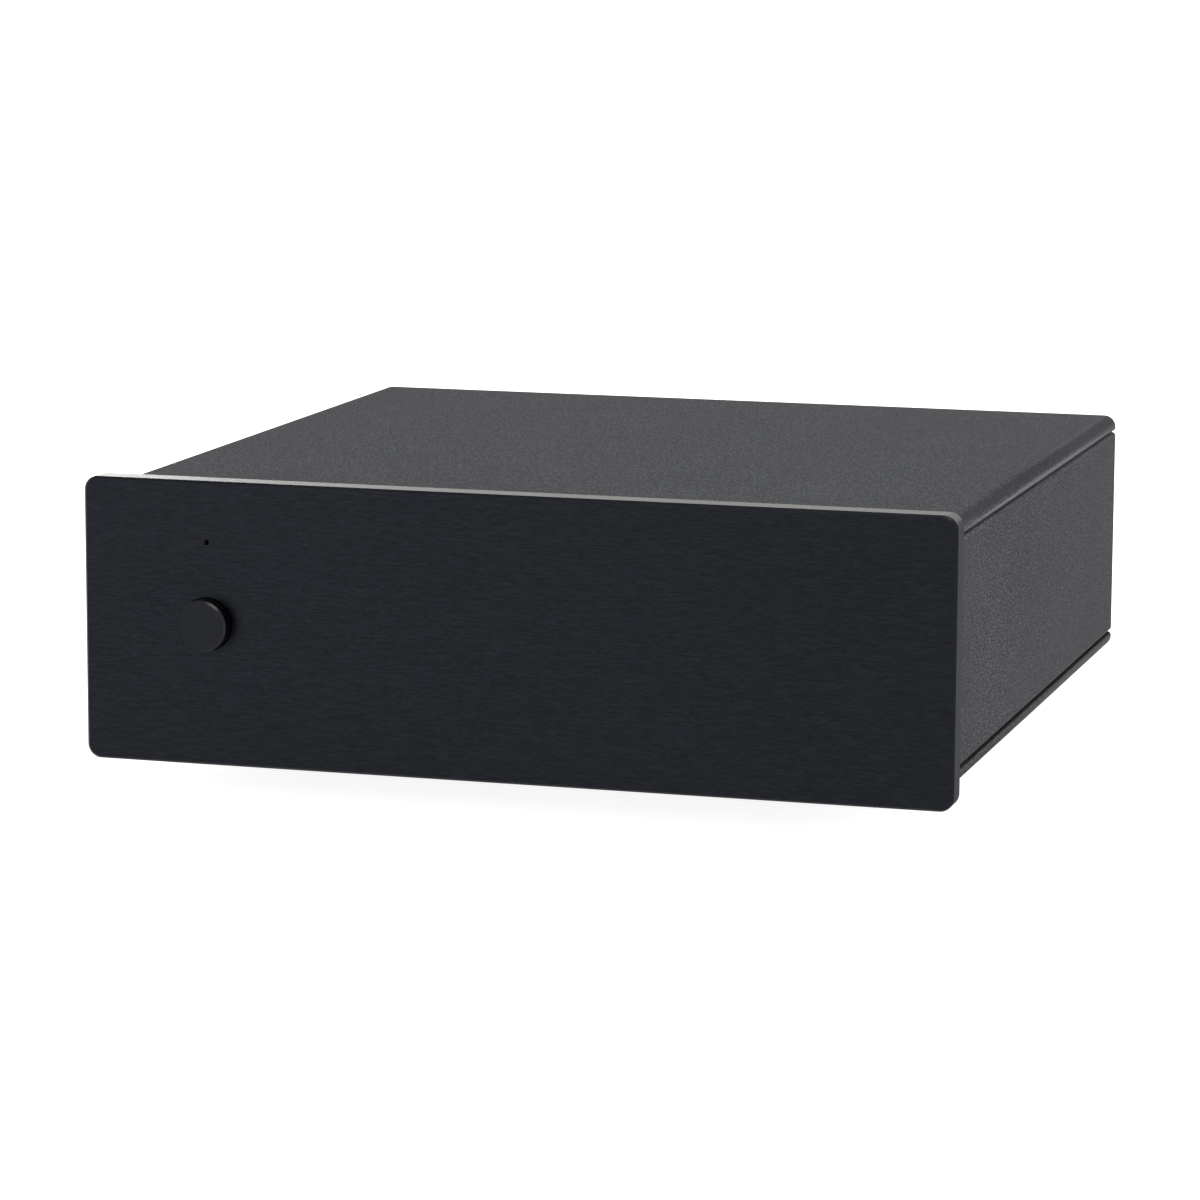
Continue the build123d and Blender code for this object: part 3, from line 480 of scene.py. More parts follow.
class Plating(Enum):
    """Metal skins: light tone, dark tone and roughness."""

    GOLD = (shade(0.88, 1.0, 0.68, 0.28), shade(0.66, 1.0, 0.62, 0.22), 0.20)
    NICKEL = (shade(0.66, 1.0, 0.97, 0.90), shade(0.46, 1.0, 0.96, 0.88), 0.24)
    ZINC = (shade(0.60, 0.98, 1.0, 1.03), shade(0.40, 0.98, 1.0, 1.02), 0.34)
    OXIDE = (shade(0.035, 1.0, 1.0, 1.03), shade(0.018), 0.40)
    TIN = (shade(0.62, 1.0, 1.0, 0.98), shade(0.45), 0.30)
    SPRING = (shade(0.50, 1.0, 0.98, 0.94), shade(0.30, 1.0, 0.96, 0.9), 0.28)


@dataclass(frozen=True)
class PlatedMetal(Finish):
    """Small turned or headed metal part under a thin plating."""

    plating: Plating
    mark_long: float = 0.5 * MM
    mark_pitch: float = 0.05 * MM
    mark_depth: float = 0.002 * MM
    stain_size: float = 1.4 * MM
    stain_step: Step = (0.55, 0.5)
    wear_step: Step = (0.45, 0.4)
    worn_edge: float = 0.08 * MM

    def lay(self) -> Bench:
        """Turning marks, stains, and edges rubbed brighter."""
        bright, dull, roughness = self.plating.value
        bench = Bench(self.name, Metallic=1.0)
        marks = bench.noise(self.mark_long, self.mark_pitch, self.mark_long)
        stain = bench.blobs(self.stain_size, 3.0)
        worn = bench.edges(self.worn_edge) * stain.above(*self.wear_step)
        tone = bench.mix(stain.above(*self.stain_step) * 0.6 + marks * 0.3, bright, dull)
        bench.wire("Base Color", bench.mix(worn * 0.6, tone, scaled(bright, 1.6, 0.02)))
        bench.roughen(roughness, (marks, 0.12), (stain, 0.14))
        bench.bump((marks, self.mark_depth), (stain, 2 * self.mark_depth))
        return bench


class Resin(Enum):
    """Moulded plastics: colour, roughness and depth of the mould's grain."""

    BLACK = (shade(0.018), 0.50, 0.006 * MM)
    GLOSS_WHITE = (shade(0.72, 1.0, 1.0, 0.96), 0.30, 0.002 * MM)
    GLOSS_RED = (shade(0.42, 1.0, 0.035, 0.03), 0.30, 0.002 * MM)
    IVORY = (shade(0.62, 1.0, 0.94, 0.78), 0.46, 0.004 * MM)
    SWITCH_GREY = (shade(0.05, 1.0, 1.0, 1.06), 0.46, 0.004 * MM)
    SWITCH_RED = (shade(0.26, 1.0, 0.07, 0.05), 0.44, 0.004 * MM)
    SLIDER = (shade(0.74, 1.0, 1.0, 0.97), 0.42, 0.002 * MM)
    FILM_RED = (shade(0.34, 1.0, 0.09, 0.06), 0.34, 0.003 * MM)
    PRINT_WHITE = (shade(0.70), 0.60, 0.001 * MM)


@dataclass(frozen=True)
class Moulding(Finish):
    """Moulded plastic part."""

    resin: Resin
    grain_size: float = 0.09 * MM
    flow_size: float = 2.5 * MM
    worn_edge: float = 0.1 * MM

    def lay(self) -> Bench:
        """The mould's grain, flow clouds, and paler rubbed edges."""
        colour, roughness, depth = self.resin.value
        bench = Bench(self.name, Metallic=0.0)
        grain = bench.blobs(self.grain_size)
        flow = bench.blobs(self.flow_size, 3.0)
        worn = bench.edges(self.worn_edge)
        tone = bench.mix(flow * 0.7 + grain * 0.3, scaled(colour, 0.78), colour)
        bench.wire("Base Color", bench.mix(worn * 0.5, tone, scaled(colour, 1.25, 0.012)))
        bench.roughen(roughness, (grain, 0.14), (flow, 0.1))
        bench.bump((grain, depth), (flow, depth))
        return bench


@dataclass(frozen=True)
class FootRubber(Finish):
    """Matt black rubber with dust in its pores."""

    body: Colour = shade(0.016)
    dust: Colour = shade(0.055, 1.0, 0.97, 0.93)
    roughness: float = 0.72
    pore_size: float = 0.22 * MM
    pore_depth: float = 0.012 * MM
    grain_size: float = 0.15 * MM
    dust_step: Step = (0.56, 0.2)
    dust_height: Step = (1.2 * MM, 1.6 * MM)

    def lay(self) -> Bench:
        """Pores, a moulding sheen, and dust towards the floor."""
        bench = Bench(self.name, Metallic=0.0, Specular_IOR_Level=0.3)
        pores = bench.cells(self.pore_size)
        grain = bench.blobs(self.grain_size, 3.0)
        low = bench.z.below(*self.dust_height)
        dusty = grain.above(*self.dust_step) * (0.25 + low * 0.6)
        bench.wire("Base Color", bench.mix(dusty, self.body, self.dust))
        bench.roughen(self.roughness, (grain, 0.2))
        bench.bump((pores, self.pore_depth), (grain, self.pore_depth))
        return bench


@dataclass(frozen=True)
class SolderMask(Finish):
    """Circuit board: green mask over copper tracks and a ground fill."""

    mask: Colour = shade(0.10, 0.16, 1.0, 0.42)
    track: Colour = shade(0.17, 0.22, 1.0, 0.40)
    core: Colour = shade(0.34, 1.0, 0.86, 0.50)
    roughness: float = 0.34
    track_pitch: float = 2.6 * MM
    track_gap: float = 0.09
    track_depth: float = 0.02 * MM
    fill_size: float = 7 * MM
    fill_step: Step = (0.52, 0.02)
    weave_size: float = 0.25 * MM
    cut_step: Step = (0.5, 0.2)

    def lay(self) -> Bench:
        """Tracks under the mask on both faces, and bare laminate at the edges."""
        bench = Bench(self.name, Metallic=0.0, Coat_Weight=0.35, Coat_Roughness=0.12)
        vector = bench.stretched(self.track_pitch, self.track_pitch, self.track_pitch)
        values = {"Vector": vector, "Scale": 1.0, "Mortar Size": self.track_gap, "Mortar Smooth": 0.1}
        tracks = Signal(bench, bench.node("ShaderNodeTexBrick", {}, values).outputs["Fac"])
        copper = tracks.larger(bench.blobs(self.fill_size, 0.0).above(*self.fill_step))
        _, turned, up = bench.facing()
        cut = abs(up).larger(abs(turned)).below(*self.cut_step)
        weave = bench.blobs(self.weave_size, 1.0)
        tone = bench.mix(copper * 0.9, self.mask, self.track)
        bench.wire("Base Color", bench.mix(cut, tone, self.core))
        bench.wire("Roughness", self.roughness + weave * 0.12 + cut * 0.3)
        bench.bump((copper, self.track_depth), (weave, self.track_depth / 5))
        return bench


@dataclass(frozen=True)
class ShrinkSleeve(Finish):
    """Can in a printed shrink sleeve, with a bare scored aluminium top."""

    first: float
    row_y: float
    radius: float
    top: float
    pitch: float = 9.5 * MM
    sleeve: Colour = shade(0.035, 0.7, 0.85, 1.5)
    stripe: Colour = shade(0.45)
    metal: Colour = shade(0.55)
    roughness: float = 0.28
    fade: float = 0.1 * MM
    rim: float = 0.7 * MM
    lid_sink: float = 0.5 * MM
    stripe_from: float = 0.82
    score_half: float = 0.15 * MM
    score_depth: float = 0.08 * MM
    grain_size: float = 0.2 * MM
    grain_depth: float = 0.003 * MM
    lid_step: Step = (0.8, 0.1)

    def lay(self) -> Bench:
        """Polarity stripe down one side, rolled rim and a scored cross on top."""
        bench = Bench(self.name, Metallic=0.0)
        across = bench.beside(self.first, self.pitch)
        along = bench.y - self.row_y
        reach = (across * across + along * along).root()
        _, _, up = bench.facing()
        lid = up.above(*self.lid_step) * reach.below(self.radius - self.rim, self.fade)
        lid = lid * bench.z.above(self.top - self.lid_sink, self.fade)
        mark = along.below(-self.stripe_from * self.radius, self.fade / 2) * (1 - lid)
        score = across.smaller(abs(along)).below(self.score_half, self.fade) * lid
        grain = bench.blobs(self.grain_size)
        tone = bench.mix(mark * 0.9, self.sleeve, self.stripe)
        bench.wire("Base Color", bench.mix(lid * (1 - score * 0.6), tone, self.metal))
        bench.wire("Metallic", lid * 0.9)
        bench.wire("Roughness", self.roughness + grain * 0.12 + lid * 0.1)
        bench.bump((1 - score, self.score_depth), (grain, self.grain_depth))
        return bench


@dataclass(frozen=True)
class LeggedPackage(Finish):
    """Black moulded package whose legs are tinned, below its body or beside it along Y."""

    body_low: float
    middle_y: float = 0.0
    body_half: float = 1.0
    epoxy: Colour = shade(0.016)
    metal: Colour = shade(0.60)
    roughness: float = 0.55
    fade: float = 0.04 * MM
    grain_size: float = 0.06 * MM
    grain_depth: float = 0.008 * MM
    flow_size: float = 1.2 * MM

    def lay(self) -> Bench:
        """Matt epoxy inside the body's box and metal outside it."""
        bench = Bench(self.name)
        grain = bench.blobs(self.grain_size)
        flow = bench.blobs(self.flow_size)
        out = abs(bench.y - self.middle_y).above(self.body_half, self.fade)
        leg = out.larger(bench.z.below(self.body_low, self.fade))
        body = bench.mix(flow, self.epoxy, scaled(self.epoxy, 2.0))
        bench.wire("Base Color", bench.mix(leg, body, self.metal))
        bench.wire("Metallic", leg)
        bench.roughen(self.roughness - leg * 0.25, (grain, 0.2))
        bench.bump((grain * (1 - leg), self.grain_depth), (flow, self.grain_depth / 4))
        return bench


@dataclass(frozen=True)
class ChipResistor(Finish):
    """Chip resistor: dark lacquer between two tinned ends."""

    first: float
    pitch: float = 6.0 * MM
    half: float = 1.05 * MM
    lacquer: Colour = shade(0.02)
    ceramic: Colour = shade(0.62)
    tin: Colour = shade(0.60)
    roughness: float = 0.32
    fade: float = 0.04 * MM
    grain_size: float = 0.08 * MM
    grain_depth: float = 0.006 * MM
    top_step: Step = (0.5, 0.2)

    def lay(self) -> Bench:
        """Tinned ends, lacquer on top, and white ceramic at the sides."""
        bench = Bench(self.name)
        end = bench.beside(self.first, self.pitch).above(self.half, self.fade)
        _, _, up = bench.facing()
        grain = bench.blobs(self.grain_size)
        body = bench.mix(up.above(*self.top_step), self.ceramic, self.lacquer)
        bench.wire("Base Color", bench.mix(end, body, self.tin))
        bench.wire("Metallic", end)
        bench.wire("Roughness", self.roughness + grain * 0.2)
        bench.bump((grain, self.grain_depth))
        return bench


@dataclass(frozen=True)
class ClearLens(Finish):
    """Milky blue epoxy of a small round light, with tinned leads behind."""

    back_y: float
    epoxy: Colour = shade(0.55, 0.62, 0.85, 1.0)
    core: Colour = shade(0.42, 0.55, 0.80, 1.0)
    lead: Colour = shade(0.60)
    roughness: float = 0.10
    fade: float = 0.05 * MM
    flow_size: float = 0.8 * MM
    flow_depth: float = 0.004 * MM

    def lay(self) -> Bench:
        """Epoxy in front of the flange's back, and leads behind it."""
        bench = Bench(self.name)
        lead = bench.y.above(self.back_y, self.fade)
        flow = bench.blobs(self.flow_size)
        body = bench.mix(flow, self.epoxy, self.core)
        bench.wire("Base Color", bench.mix(lead, body, self.lead))
        bench.wire("Metallic", lead)
        bench.wire("Roughness", self.roughness + flow * 0.08 + lead * 0.2)
        bench.bump((flow, self.flow_depth))
        return bench


@dataclass(frozen=True)
class LitPaper(Finish):
    """Pale paper that a light table shines through."""

    tone: Colour = shade(0.44)
    glow: float = 0.88
    roughness: float = 0.85
    fibre_size: float = 0.6 * MM

    def lay(self) -> Bench:
        """Faint fibres in an evenly lit sheet."""
        glow = {"Emission_Color": shade(1.0), "Emission_Strength": self.glow}
        bench = Bench(self.name, Metallic=0.0, Specular_IOR_Level=0.2, **glow)
        fibre = bench.blobs(self.fibre_size)
        bench.wire("Base Color", bench.mix(fibre, scaled(self.tone, 0.985), self.tone))
        bench.wire("Roughness", self.roughness + fibre * 0.1)
        return bench


# ------------ mesh helpers
def settle(mesh: Mesh, name: str, weld: float = 0.002 * MM) -> bpy.types.Object:
    """Closes a bmesh, points its faces outwards and makes an object of it.

    Args:
        mesh: the finished bmesh, in the frame's metres. It is freed.
        name: the piece's name.
        weld: vertices nearer than this are joined.

    Returns:
        The new object, linked to the scene.
    """
    bmesh.ops.remove_doubles(mesh, verts=mesh.verts, dist=weld)
    bmesh.ops.recalc_face_normals(mesh, faces=mesh.faces)
    data = bpy.data.meshes.new(name)
    mesh.to_mesh(data)
    mesh.free()
    made = bpy.data.objects.new(name, data)
    bpy.context.scene.collection.objects.link(made)
    return made


def smooth(piece: bpy.types.Object, degrees: float) -> None:
    """Shades a piece smooth between its hard edges.

    Args:
        piece: the piece.
        degrees: edges that turn more than this are hard.
    """
    limit = math.radians(degrees)
    mesh = bmesh.new()
    mesh.from_mesh(piece.data)
    for face in mesh.faces:
        face.smooth = True
    for edge in mesh.edges:
        edge.smooth = edge.is_manifold and edge.calc_face_angle(0.0) < limit
    mesh.to_mesh(piece.data)
    mesh.free()


def dress(piece: bpy.types.Object, material: bpy.types.Material) -> None:
    """Gives every face of a piece one material."""
    piece.data.materials.clear()
    piece.data.materials.append(material)


def soften(node: str, width: float) -> None:
    """Rounds a CAD node's sharp edges.

    Args:
        node: the node's name.
        width: how wide each rounding is.
    """
    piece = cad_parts[node]
    weld = piece.modifiers.new("joined", "WELD")
    weld.merge_threshold = JOIN_WITHIN
    bevel = piece.modifiers.new("broken_edges", "BEVEL")
    bevel.width = width
    bevel.segments = BROKEN_FACES
    bevel.limit_method = "ANGLE"
    bevel.angle_limit = math.radians(SHARP_TURN)


def finish_nodes(finish: Finish, *nodes: str) -> None:
    """Dresses CAD nodes in one finish and reports each.

    Args:
        finish: what they get.
        nodes: their names.
    """
    material = finish.material()
    for node in nodes:
        dress(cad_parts[node], material)
        log.info("dressed %s in %s", node, material.name)


def centre(node: str) -> Vector:
    """The middle of a CAD node's box."""
    low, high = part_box(node)
    return (low + high) / 2


# ------------ sub-assemblies
@dataclass
class Case:
    """The plates, covers, rails, screws and feet."""

    broken_edge: float = 0.10 * MM
    panel_edge: float = 0.08 * MM

    def dress(self) -> None:
        """Lays the finishes on the case's nodes."""
        finish_nodes(BrushedPlate("black_brushed_plate"), "front_plate")
        # The cover gets painted shade on its roll and a painted highlight along its lip; the base
        # gets painted shade in its seam groove.
        cover = BlastedShell("dark_blasted_cover", bend_shade_share=0.7, lip_highlight_share=0.85)
        finish_nodes(cover, "top_cover")
        finish_nodes(BlastedShell("dark_blasted_base", groove_shade_share=0.85), "base_cover")
        finish_nodes(BlastedShell("dark_blasted_rail"), "left_rail", "right_rail")
        finish_nodes(SatinPanel("black_satin_panel"), "rear_panel")
        sheet = SatinPanel("mill_sheet", shade(0.52), shade(0.60), metallic=1.0, roughness=0.36)
        finish_nodes(sheet, "inner_front_panel")
        feet = [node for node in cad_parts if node.startswith("foot_") and "screw" not in node]
        finish_nodes(FootRubber("foot_rubber"), *feet)
        zinc = PlatedMetal("zinc_screws", Plating.ZINC)
        finish_nodes(zinc, "front_plate_screws", "inner_panel_screws", "foot_screws")
        black = PlatedMetal("black_screws", Plating.OXIDE)
        finish_nodes(black, "rear_panel_screws", "socket_block_screws")

    def break_edges(self) -> None:
        """Rounds the cut ends of the extrusions and the panels' edges."""
        for node in ("top_cover", "base_cover", "left_rail", "right_rail"):
            soften(node, self.broken_edge)
        soften("rear_panel", self.panel_edge)


@dataclass
class PushButton:
    """The button, its switch, the return spring and the light behind the pin-hole."""

    travel: float = 1.8 * MM

    def give_spring(self) -> None:
        """Gives the return spring a mesh of its own."""
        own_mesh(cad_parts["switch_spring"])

    def dress(self) -> None:
        """Lays the finishes on the switch's nodes."""
        middle = centre("power_button")
        finish_nodes(TurnedCap("turned_black_cap", (middle.x, middle.z)), "power_button")
        finish_nodes(Moulding("white_plunger", Resin.SLIDER), "switch_plunger")
        finish_nodes(PlatedMetal("spring_wire", Plating.SPRING), "switch_spring")
        self.give_spring()
        finish_nodes(Moulding("switch_moulding", Resin.SWITCH_GREY), "switch_body")
        finish_nodes(Moulding("spacer_moulding", Resin.BLACK), "led_spacer")
        finish_nodes(ClearLens("clear_blue_lens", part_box("led_spacer")[0].y), "status_led")


@dataclass
class RearSockets:
    """The phono sockets and the supply inlet."""

    lip: float = 0.12 * MM

    def dress(self) -> None:
        """Lays the finishes on the sockets' nodes."""
        gold = PlatedMetal("gold_plate", Plating.GOLD)
        finish_nodes(gold, "jack_barrels", "jack_contacts", "ground_washer")
        finish_nodes(Moulding("white_sleeves", Resin.GLOSS_WHITE), "left_jack_insulators")
        finish_nodes(Moulding("red_sleeves", Resin.GLOSS_RED), "right_jack_insulators")
        black = Moulding("socket_moulding", Resin.BLACK)
        finish_nodes(black, "input_socket_block", "output_socket_block", "dc_jack_body")
        finish_nodes(PlatedMetal("nickel_pin", Plating.NICKEL), "dc_jack_pin")
        for node in ("jack_barrels", "left_jack_insulators", "right_jack_insulators", "dc_jack_body"):
            soften(node, self.lip)


@dataclass
class EarthTerminal:
    """The threaded stud with its collar, and the knurled thumb nut."""

    thread_pitch: float = 0.7 * MM
    crest: float = 1.98 * MM
    core: float = 1.62 * MM
    collar_edge: float = 0.2 * MM
    collar_radius: float = 4.2 * MM
    collar: float = 2.0 * MM
    panel: float = 2.0 * MM
    tip_cut: float = 0.4 * MM
    thread_sink: float = 0.05 * MM
    thread_foot: float = 0.46
    thread_flat: float = 0.07
    steps_per_turn: int = 28
    stud_sides: int = 64
    stud_hard_turn: float = 28.0
    nut_radius: float = 5.0 * MM
    nut_bore: float = 2.06 * MM
    nut_grip: float = 4.9 * MM
    nut_edge: float = 0.35 * MM
    seat_chamfer: float = 0.15 * MM
    mouth_chamfer: float = 0.3 * MM
    waist_radius: float = 3.9 * MM
    waist_edge: float = 0.35 * MM
    knurl_teeth: int = 40
    knurl_rise: float = 1.15 * MM
    knurl_depth: float = 0.28 * MM
    nut_columns: int = 240
    nut_rows: int = 48
    nut_hard_turn: float = 24.0
    inner_nut_edge: float = 0.15 * MM
    washer_edge: float = 0.10 * MM

    def turned(self, mesh: Mesh, outline: Iterable[tuple[float, float]], steps: int) -> None:
        """Spins an outline of radii and heights round the Z axis.

        Args:
            mesh: the bmesh that gets the shape.
            outline: radius and height of each point, from the axis and back to it.
            steps: faces round the axis.
        """
        points = [mesh.verts.new((radius, 0, height)) for radius, height in outline]
        wires = [mesh.edges.new(pair) for pair in zip(points, points[1:])]
        bmesh.ops.spin(
            mesh,
            geom=points + wires,
            **UPRIGHT,
            angle=math.tau,
            steps=steps,
            use_merge=True,
        )

    def thread(self, mesh: Mesh, low: float, high: float) -> None:
        """Winds a pointed ridge round the stud's core.

        Args:
            mesh: the bmesh that gets the ridge.
            low: height where it starts.
            high: height where it ends.
        """
        root = self.core - self.thread_sink
        half = self.thread_pitch * self.thread_foot
        flat = self.thread_pitch * self.thread_flat
        section = [(root, -half), (self.crest, -flat), (self.crest, flat), (root, half)]
        points = [mesh.verts.new((radius, 0, low + half + height)) for radius, height in section]
        ridge = mesh.faces.new(points)
        steps = round((high - low - 2 * half) / self.thread_pitch * self.steps_per_turn)
        bmesh.ops.spin(
            mesh,
            geom=[ridge],
            **UPRIGHT,
            dvec=(0, 0, self.thread_pitch / self.steps_per_turn),
            angle=math.tau * steps / self.steps_per_turn,
            steps=steps,
        )

    def stand(self, mesh: Mesh, x: float, y: float, z: float) -> None:
        """Turns a shape from +Z to +Y and moves it to its place."""
        bmesh.ops.rotate(mesh, verts=mesh.verts, matrix=Matrix.Rotation(-math.pi / 2, 3, "X"))
        bmesh.ops.translate(mesh, verts=mesh.verts, vec=(x, y, z))

    def make_stud(self, gold: bpy.types.Material) -> None:
        """Threaded stud, its collar against the rear panel."""
        low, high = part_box("ground_stud")
        axis = centre("ground_stud")
        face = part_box("rear_panel")[1].y
        inside, outside = low.y - face, high.y - face
        cut, edge = self.tip_cut, self.collar_edge
        mesh = bmesh.new()
        outline = [
            (0, inside),
            (self.core - cut / 2, inside),
            (self.core, inside + cut / 2),
            (self.core, -self.panel),
            (self.crest, -self.panel),
            (self.crest, 0),
            (self.collar_radius, 0),
            (self.collar_radius, self.collar - edge),
            (self.collar_radius - edge, self.collar),
            (self.core, self.collar),
            (self.core, outside - cut),
            (self.core - cut, outside),
            (0, outside),
        ]
        self.turned(mesh, outline, self.stud_sides)
        self.thread(mesh, inside + cut / 2, -self.panel)
        self.thread(mesh, self.collar, outside - cut / 2)
        self.stand(mesh, axis.x, face, axis.z)
        stud = settle(mesh, "threaded_stud")
        smooth(stud, self.stud_hard_turn)
        dress(stud, gold)
        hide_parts("ground_stud")
        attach(stud, "case")
        log.info("made %s, %.2f mm long", stud.name, (outside - inside) / MM)

    def knurl(self, point: Vector) -> float:
        """How far two crossing rows of grooves lower the grip at a point.

        Args:
            point: a place on the grip, its height from the nut's seat.

        Returns:
            The depth of the grooves there.
        """
        turn = math.atan2(point.y, point.x) / math.tau * self.knurl_teeth
        climb = point.z / self.knurl_rise
        grooves = (1 - abs(2 * ((turn + lean * climb) % 1.0) - 1) for lean in (1, -1))
        return self.knurl_depth * max(grooves)

    def make_thumb_nut(self, gold: bpy.types.Material) -> None:
        """Thumb nut with a crossed knurl that fades into its bevels."""
        low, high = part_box("ground_thumb_nut")
        axis = centre("ground_thumb_nut")
        long = high.y - low.y
        edge, bore, waist = self.nut_edge, self.nut_bore, self.waist_radius
        mesh = bmesh.new()
        grip = self.nut_grip - 2 * edge
        rows = [edge + grip * row / self.nut_rows for row in range(self.nut_rows + 1)]
        outline = [
            (bore, self.seat_chamfer),
            (bore + self.seat_chamfer, 0),
            (self.nut_radius - edge, 0),
            *((self.nut_radius, height) for height in rows),
            (self.nut_radius - edge, self.nut_grip),
            (waist, self.nut_grip),
            (waist, long - self.waist_edge),
            (waist - self.waist_edge, long),
            (bore + self.mouth_chamfer, long),
            (bore, long - self.mouth_chamfer),
            (bore, self.seat_chamfer),
        ]
        self.turned(mesh, outline, self.nut_columns)
        for vert in mesh.verts:
            if math.hypot(vert.co.x, vert.co.y) > self.nut_radius - edge / 2:
                fade = min(vert.co.z, self.nut_grip - vert.co.z) / edge
                lowered = self.knurl(vert.co) * min(1.0, fade)
                factor = 1 - lowered / self.nut_radius
                vert.co.x *= factor
                vert.co.y *= factor
        self.stand(mesh, axis.x, low.y, axis.z)
        nut = settle(mesh, "knurled_thumb_nut")
        smooth(nut, self.nut_hard_turn)
        dress(nut, gold)
        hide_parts("ground_thumb_nut")
        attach(nut, "thumb_nut")
        log.info("made %s with %d teeth", nut.name, self.knurl_teeth)

    def build(self) -> None:
        """Makes both pieces and dresses what holds them."""
        gold = PlatedMetal("gold_terminal", Plating.GOLD).material()
        self.make_stud(gold)
        self.make_thumb_nut(gold)
        tin = PlatedMetal("tinned_copper", Plating.TIN)
        finish_nodes(tin, "ground_solder_tag", "front_board_pins", "dip_leads")
        nut = PlatedMetal("zinc_nut", Plating.ZINC)
        finish_nodes(nut, "ground_inner_nut", "regulator_screws")
        soften("ground_inner_nut", self.inner_nut_edge)
        soften("ground_washer", self.washer_edge)


@dataclass
class SettingSwitches:
    """The two blocks of slide switches under the base, with their way numbers."""

    ways: int = 6
    figure_height: float = 1.25 * MM
    figure_relief: float = 0.03 * MM
    figure_steps: int = 3
    figure_weld: float = 0.0001 * MM
    number_inset: float = 1.5 * MM
    word_inset: float = 1.2 * MM
    word_shift: float = 0.3 * MM

    def figure(self, mesh: Mesh, words: str, x: float, y: float, z: float) -> None:
        """Adds one raised figure that reads from below, its top towards the front.

        Args:
            mesh: the bmesh that gets it.
            words: the figure or figures.
            x: its middle.
            y: its middle.
            z: the face that it stands on.
        """
        curve = bpy.data.curves.new("figure", "FONT")
        curve.body = words
        curve.size = self.figure_height
        curve.extrude = self.figure_relief
        curve.align_x = "CENTER"
        curve.align_y = "CENTER"
        curve.resolution_u = self.figure_steps
        holder = bpy.data.objects.new("figure", curve)
        bpy.context.scene.collection.objects.link(holder)
        bpy.context.view_layer.update()
        data = bpy.data.meshes.new_from_object(holder)
        data.transform(Matrix.Translation((x, y, z)) @ Matrix.Rotation(math.pi, 4, "X"))
        mesh.from_mesh(data)
        bpy.data.objects.remove(holder)
        bpy.data.curves.remove(curve)
        bpy.data.meshes.remove(data)

    def number(self, side: str, ink: bpy.types.Material) -> None:
        """Moulds the way numbers and the word ON on one block.

        Args:
            side: the block's channel, left or right.
            ink: the material of the figures.
        """
        places = [centre(f"{side}_dip_slider_{way}") for way in range(1, self.ways + 1)]
        low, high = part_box("dip_bodies")
        mesh = bmesh.new()
        for way, place in enumerate(places, start=1):
            self.figure(mesh, str(way), place.x, high.y - self.number_inset, low.z)
        self.figure(mesh, "ON", places[0].x + self.word_shift, low.y + self.word_inset, low.z)
        numbers = settle(mesh, f"{side}_way_numbers", self.figure_weld)
        dress(numbers, ink)
        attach(numbers, "case")
        log.info("made %s", numbers.name)

    def build(self) -> None:
        """Dresses the blocks and sliders and numbers the ways."""
        finish_nodes(Moulding("red_switch_block", Resin.SWITCH_RED), "dip_bodies")
        sliders = [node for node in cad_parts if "_dip_slider_" in node]
        finish_nodes(Moulding("white_sliders", Resin.SLIDER), *sliders)
        ink = Moulding("white_figures", Resin.PRINT_WHITE).material()
        for side in ("left", "right"):
            self.number(side, ink)


@dataclass
class Circuit:
    """The boards and what they carry."""

    chip_standoff: float = 0.15 * MM
    chip_half: float = 1.96 * MM
    resistor_half: float = 1.6 * MM
    regulator_legs: float = 2.0 * MM

    def dress(self) -> None:
        """Lays the finishes on the electronic parts."""
        finish_nodes(SolderMask("green_board"), "main_board", "front_board")
        low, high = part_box("supply_capacitors")
        radius = (high.y - low.y) / 2
        sleeve = ShrinkSleeve("capacitor_sleeve", low.x + radius, low.y + radius, radius, high.z)
        finish_nodes(sleeve, "supply_capacitors")
        finish_nodes(Moulding("red_film_box", Resin.FILM_RED), "film_capacitors")
        finish_nodes(Moulding("ivory_relay_shell", Resin.IVORY), "muting_relays")
        low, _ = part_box("amplifier_chips")
        body_low = low.z + self.chip_standoff
        chips = LeggedPackage("chip_package", body_low, centre("amplifier_chips").y, self.chip_half)
        finish_nodes(chips, "amplifier_chips")
        low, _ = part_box("signal_resistors")
        finish_nodes(ChipResistor("chip_resistor", low.x + self.resistor_half), "signal_resistors")
        low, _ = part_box("voltage_regulators")
        package = LeggedPackage("regulator_package", low.z + self.regulator_legs)
        finish_nodes(package, "voltage_regulators")
        sink = SatinPanel("black_heat_sink", shade(0.014), shade(0.022), roughness=0.42)
        finish_nodes(sink, "regulator_heat_sink")


# ------------ studio
@dataclass(frozen=True)
class Softbox:
    """One soft rectangular light."""

    name: str
    place: tuple[float, float, float]
    aim: tuple[float, float, float]
    width: float
    height: float
    power: float

    def hang(self) -> None:
        """Puts the light in its place, turned to its aim."""
        lamp = bpy.data.lights.new(self.name, "AREA")
        lamp.shape = "RECTANGLE"
        lamp.size = self.width
        lamp.size_y = self.height
        lamp.energy = self.power
        holder = bpy.data.objects.new(self.name, lamp)
        holder.location = self.place
        heading = Vector(self.aim) - Vector(self.place)
        holder.rotation_mode = "QUATERNION"
        holder.rotation_quaternion = heading.to_track_quat("-Z", "Y")
        bpy.context.scene.collection.objects.link(holder)
        log.info("hung %s", self.name)


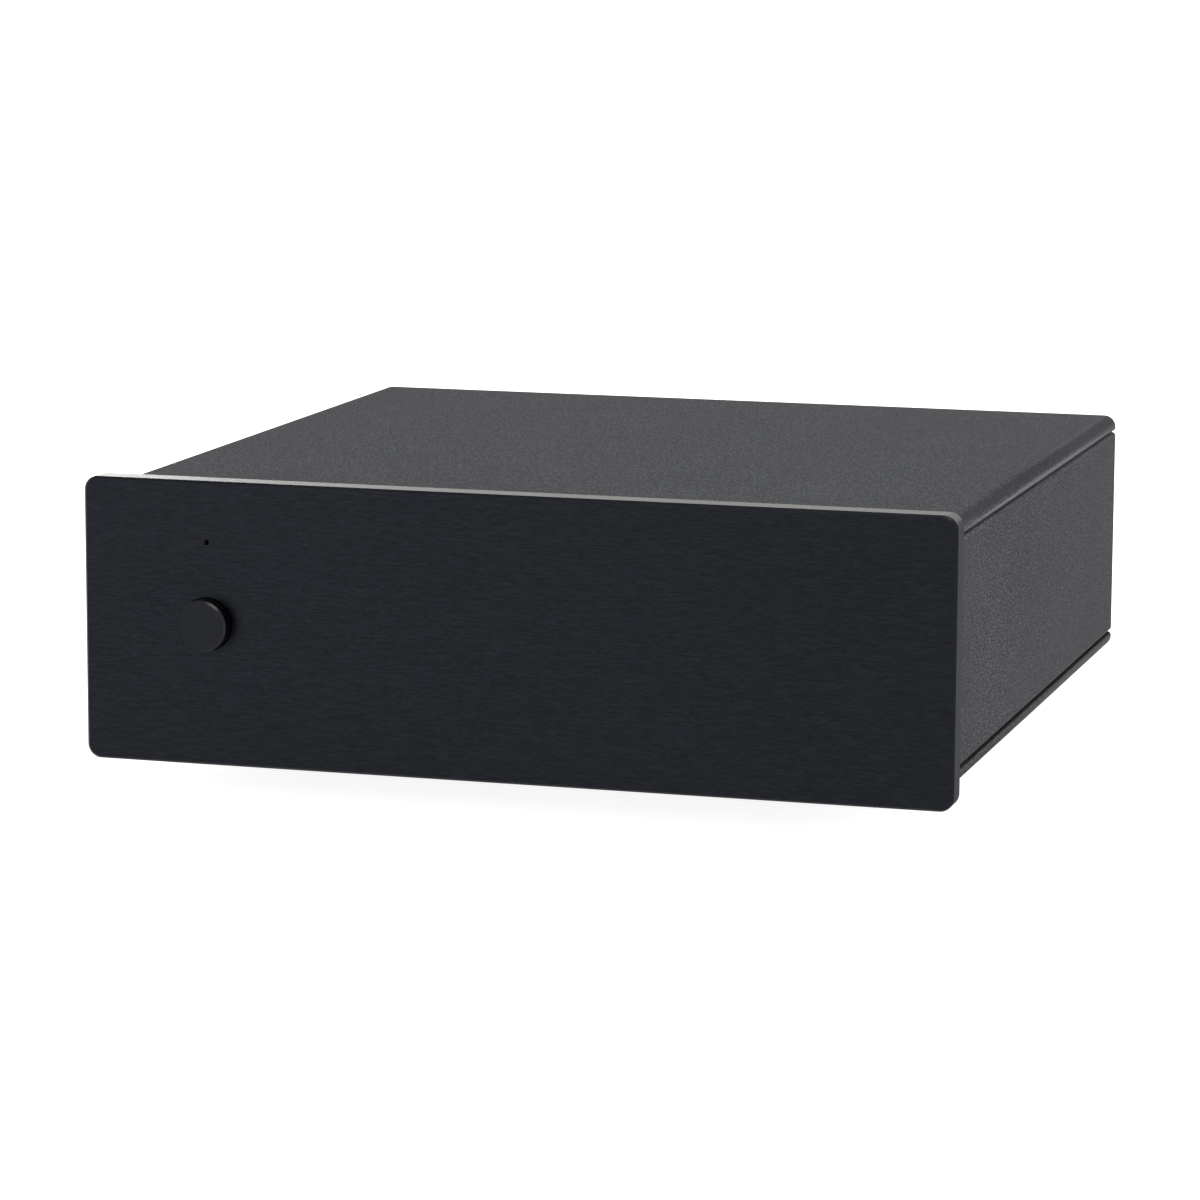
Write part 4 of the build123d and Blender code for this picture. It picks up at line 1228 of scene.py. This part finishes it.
@dataclass
class Studio:
    """Plain pale floor, soft lights and the camera."""

    floor_half: float = 6.0
    floor_drop: float = 0.02 * MM
    sky: float = 1.20
    softboxes: tuple[Softbox, ...] = (
        Softbox("key_softbox", (-0.50, -0.85, 0.22), (-0.03, -0.06, 0.01), 0.5, 0.4, 2.6),
        Softbox("over_softbox", (0.20, -0.15, 0.62), (0.02, -0.02, 0.03), 0.4, 0.4, 2.8),
        Softbox("side_softbox", (0.95, 0.10, 0.40), (0.05, -0.03, 0.02), 0.35, 0.35, 6.0),
        Softbox("rear_softbox", (-0.42, 0.50, 0.26), (-0.02, 0, 0.03), 0.3, 0.3, 1.6),
    )
    lens: float = 140.89
    film: float = 36.0
    near: float = 0.01
    far: float = 50.0
    eye: tuple[float, float, float] = (0.15765, -0.5552, 0.11285)
    right: tuple[float, float, float] = (0.9589, 0.2837, 0.0041)
    up: tuple[float, float, float] = (-0.0509, 0.1577, 0.9862)
    back: tuple[float, float, float] = (0.2791, -0.9459, 0.1657)

    def lay_floor(self) -> None:
        """A wide pale sheet under the feet, lit from below as a studio's light table is."""
        mesh = bmesh.new()
        bmesh.ops.create_grid(mesh, x_segments=2, y_segments=2, size=self.floor_half)
        bmesh.ops.translate(mesh, verts=mesh.verts, vec=(0, 0, -self.floor_drop))
        floor = settle(mesh, "studio_floor")
        dress(floor, LitPaper("pale_paper").material())

    def light(self) -> None:
        """A bright even room and the softboxes."""
        world = bpy.data.worlds.new("soft_room")
        world.use_nodes = True
        background = world.node_tree.nodes["Background"]
        background.inputs["Color"].default_value = shade(1.0)
        background.inputs["Strength"].default_value = self.sky
        bpy.context.scene.world = world
        for softbox in self.softboxes:
            softbox.hang()
        view = bpy.context.scene.view_settings
        view.view_transform = "Standard"
        view.look = "None"

    def set_camera(self) -> None:
        """The camera, with its axes as rows of numbers."""
        lens = bpy.data.cameras.new("camera")
        lens.lens = self.lens
        lens.sensor_width = self.film
        lens.clip_start = self.near
        lens.clip_end = self.far
        holder = bpy.data.objects.new("camera", lens)
        turn = Matrix((self.right, self.up, self.back)).transposed()
        holder.matrix_world = Matrix.Translation(self.eye) @ turn.to_4x4()
        bpy.context.scene.collection.objects.link(holder)
        bpy.context.scene.camera = holder

    def build(self) -> None:
        """Camera first, then floor and lights."""
        self.set_camera()
        self.lay_floor()
        self.light()


def main() -> None:
    """Builds the studio, then dresses the part piece by piece."""
    logging.basicConfig(level=logging.INFO, format="%(name)s: %(message)s")
    Studio().build()
    case = Case()
    steps: list[Callable[[], None]] = [
        case.dress,
        case.break_edges,
        PushButton().dress,
        RearSockets().dress,
        EarthTerminal().build,
        SettingSwitches().build,
        Circuit().dress,
    ]
    for step in steps:
        step()


if __name__ == "__main__":
    main()
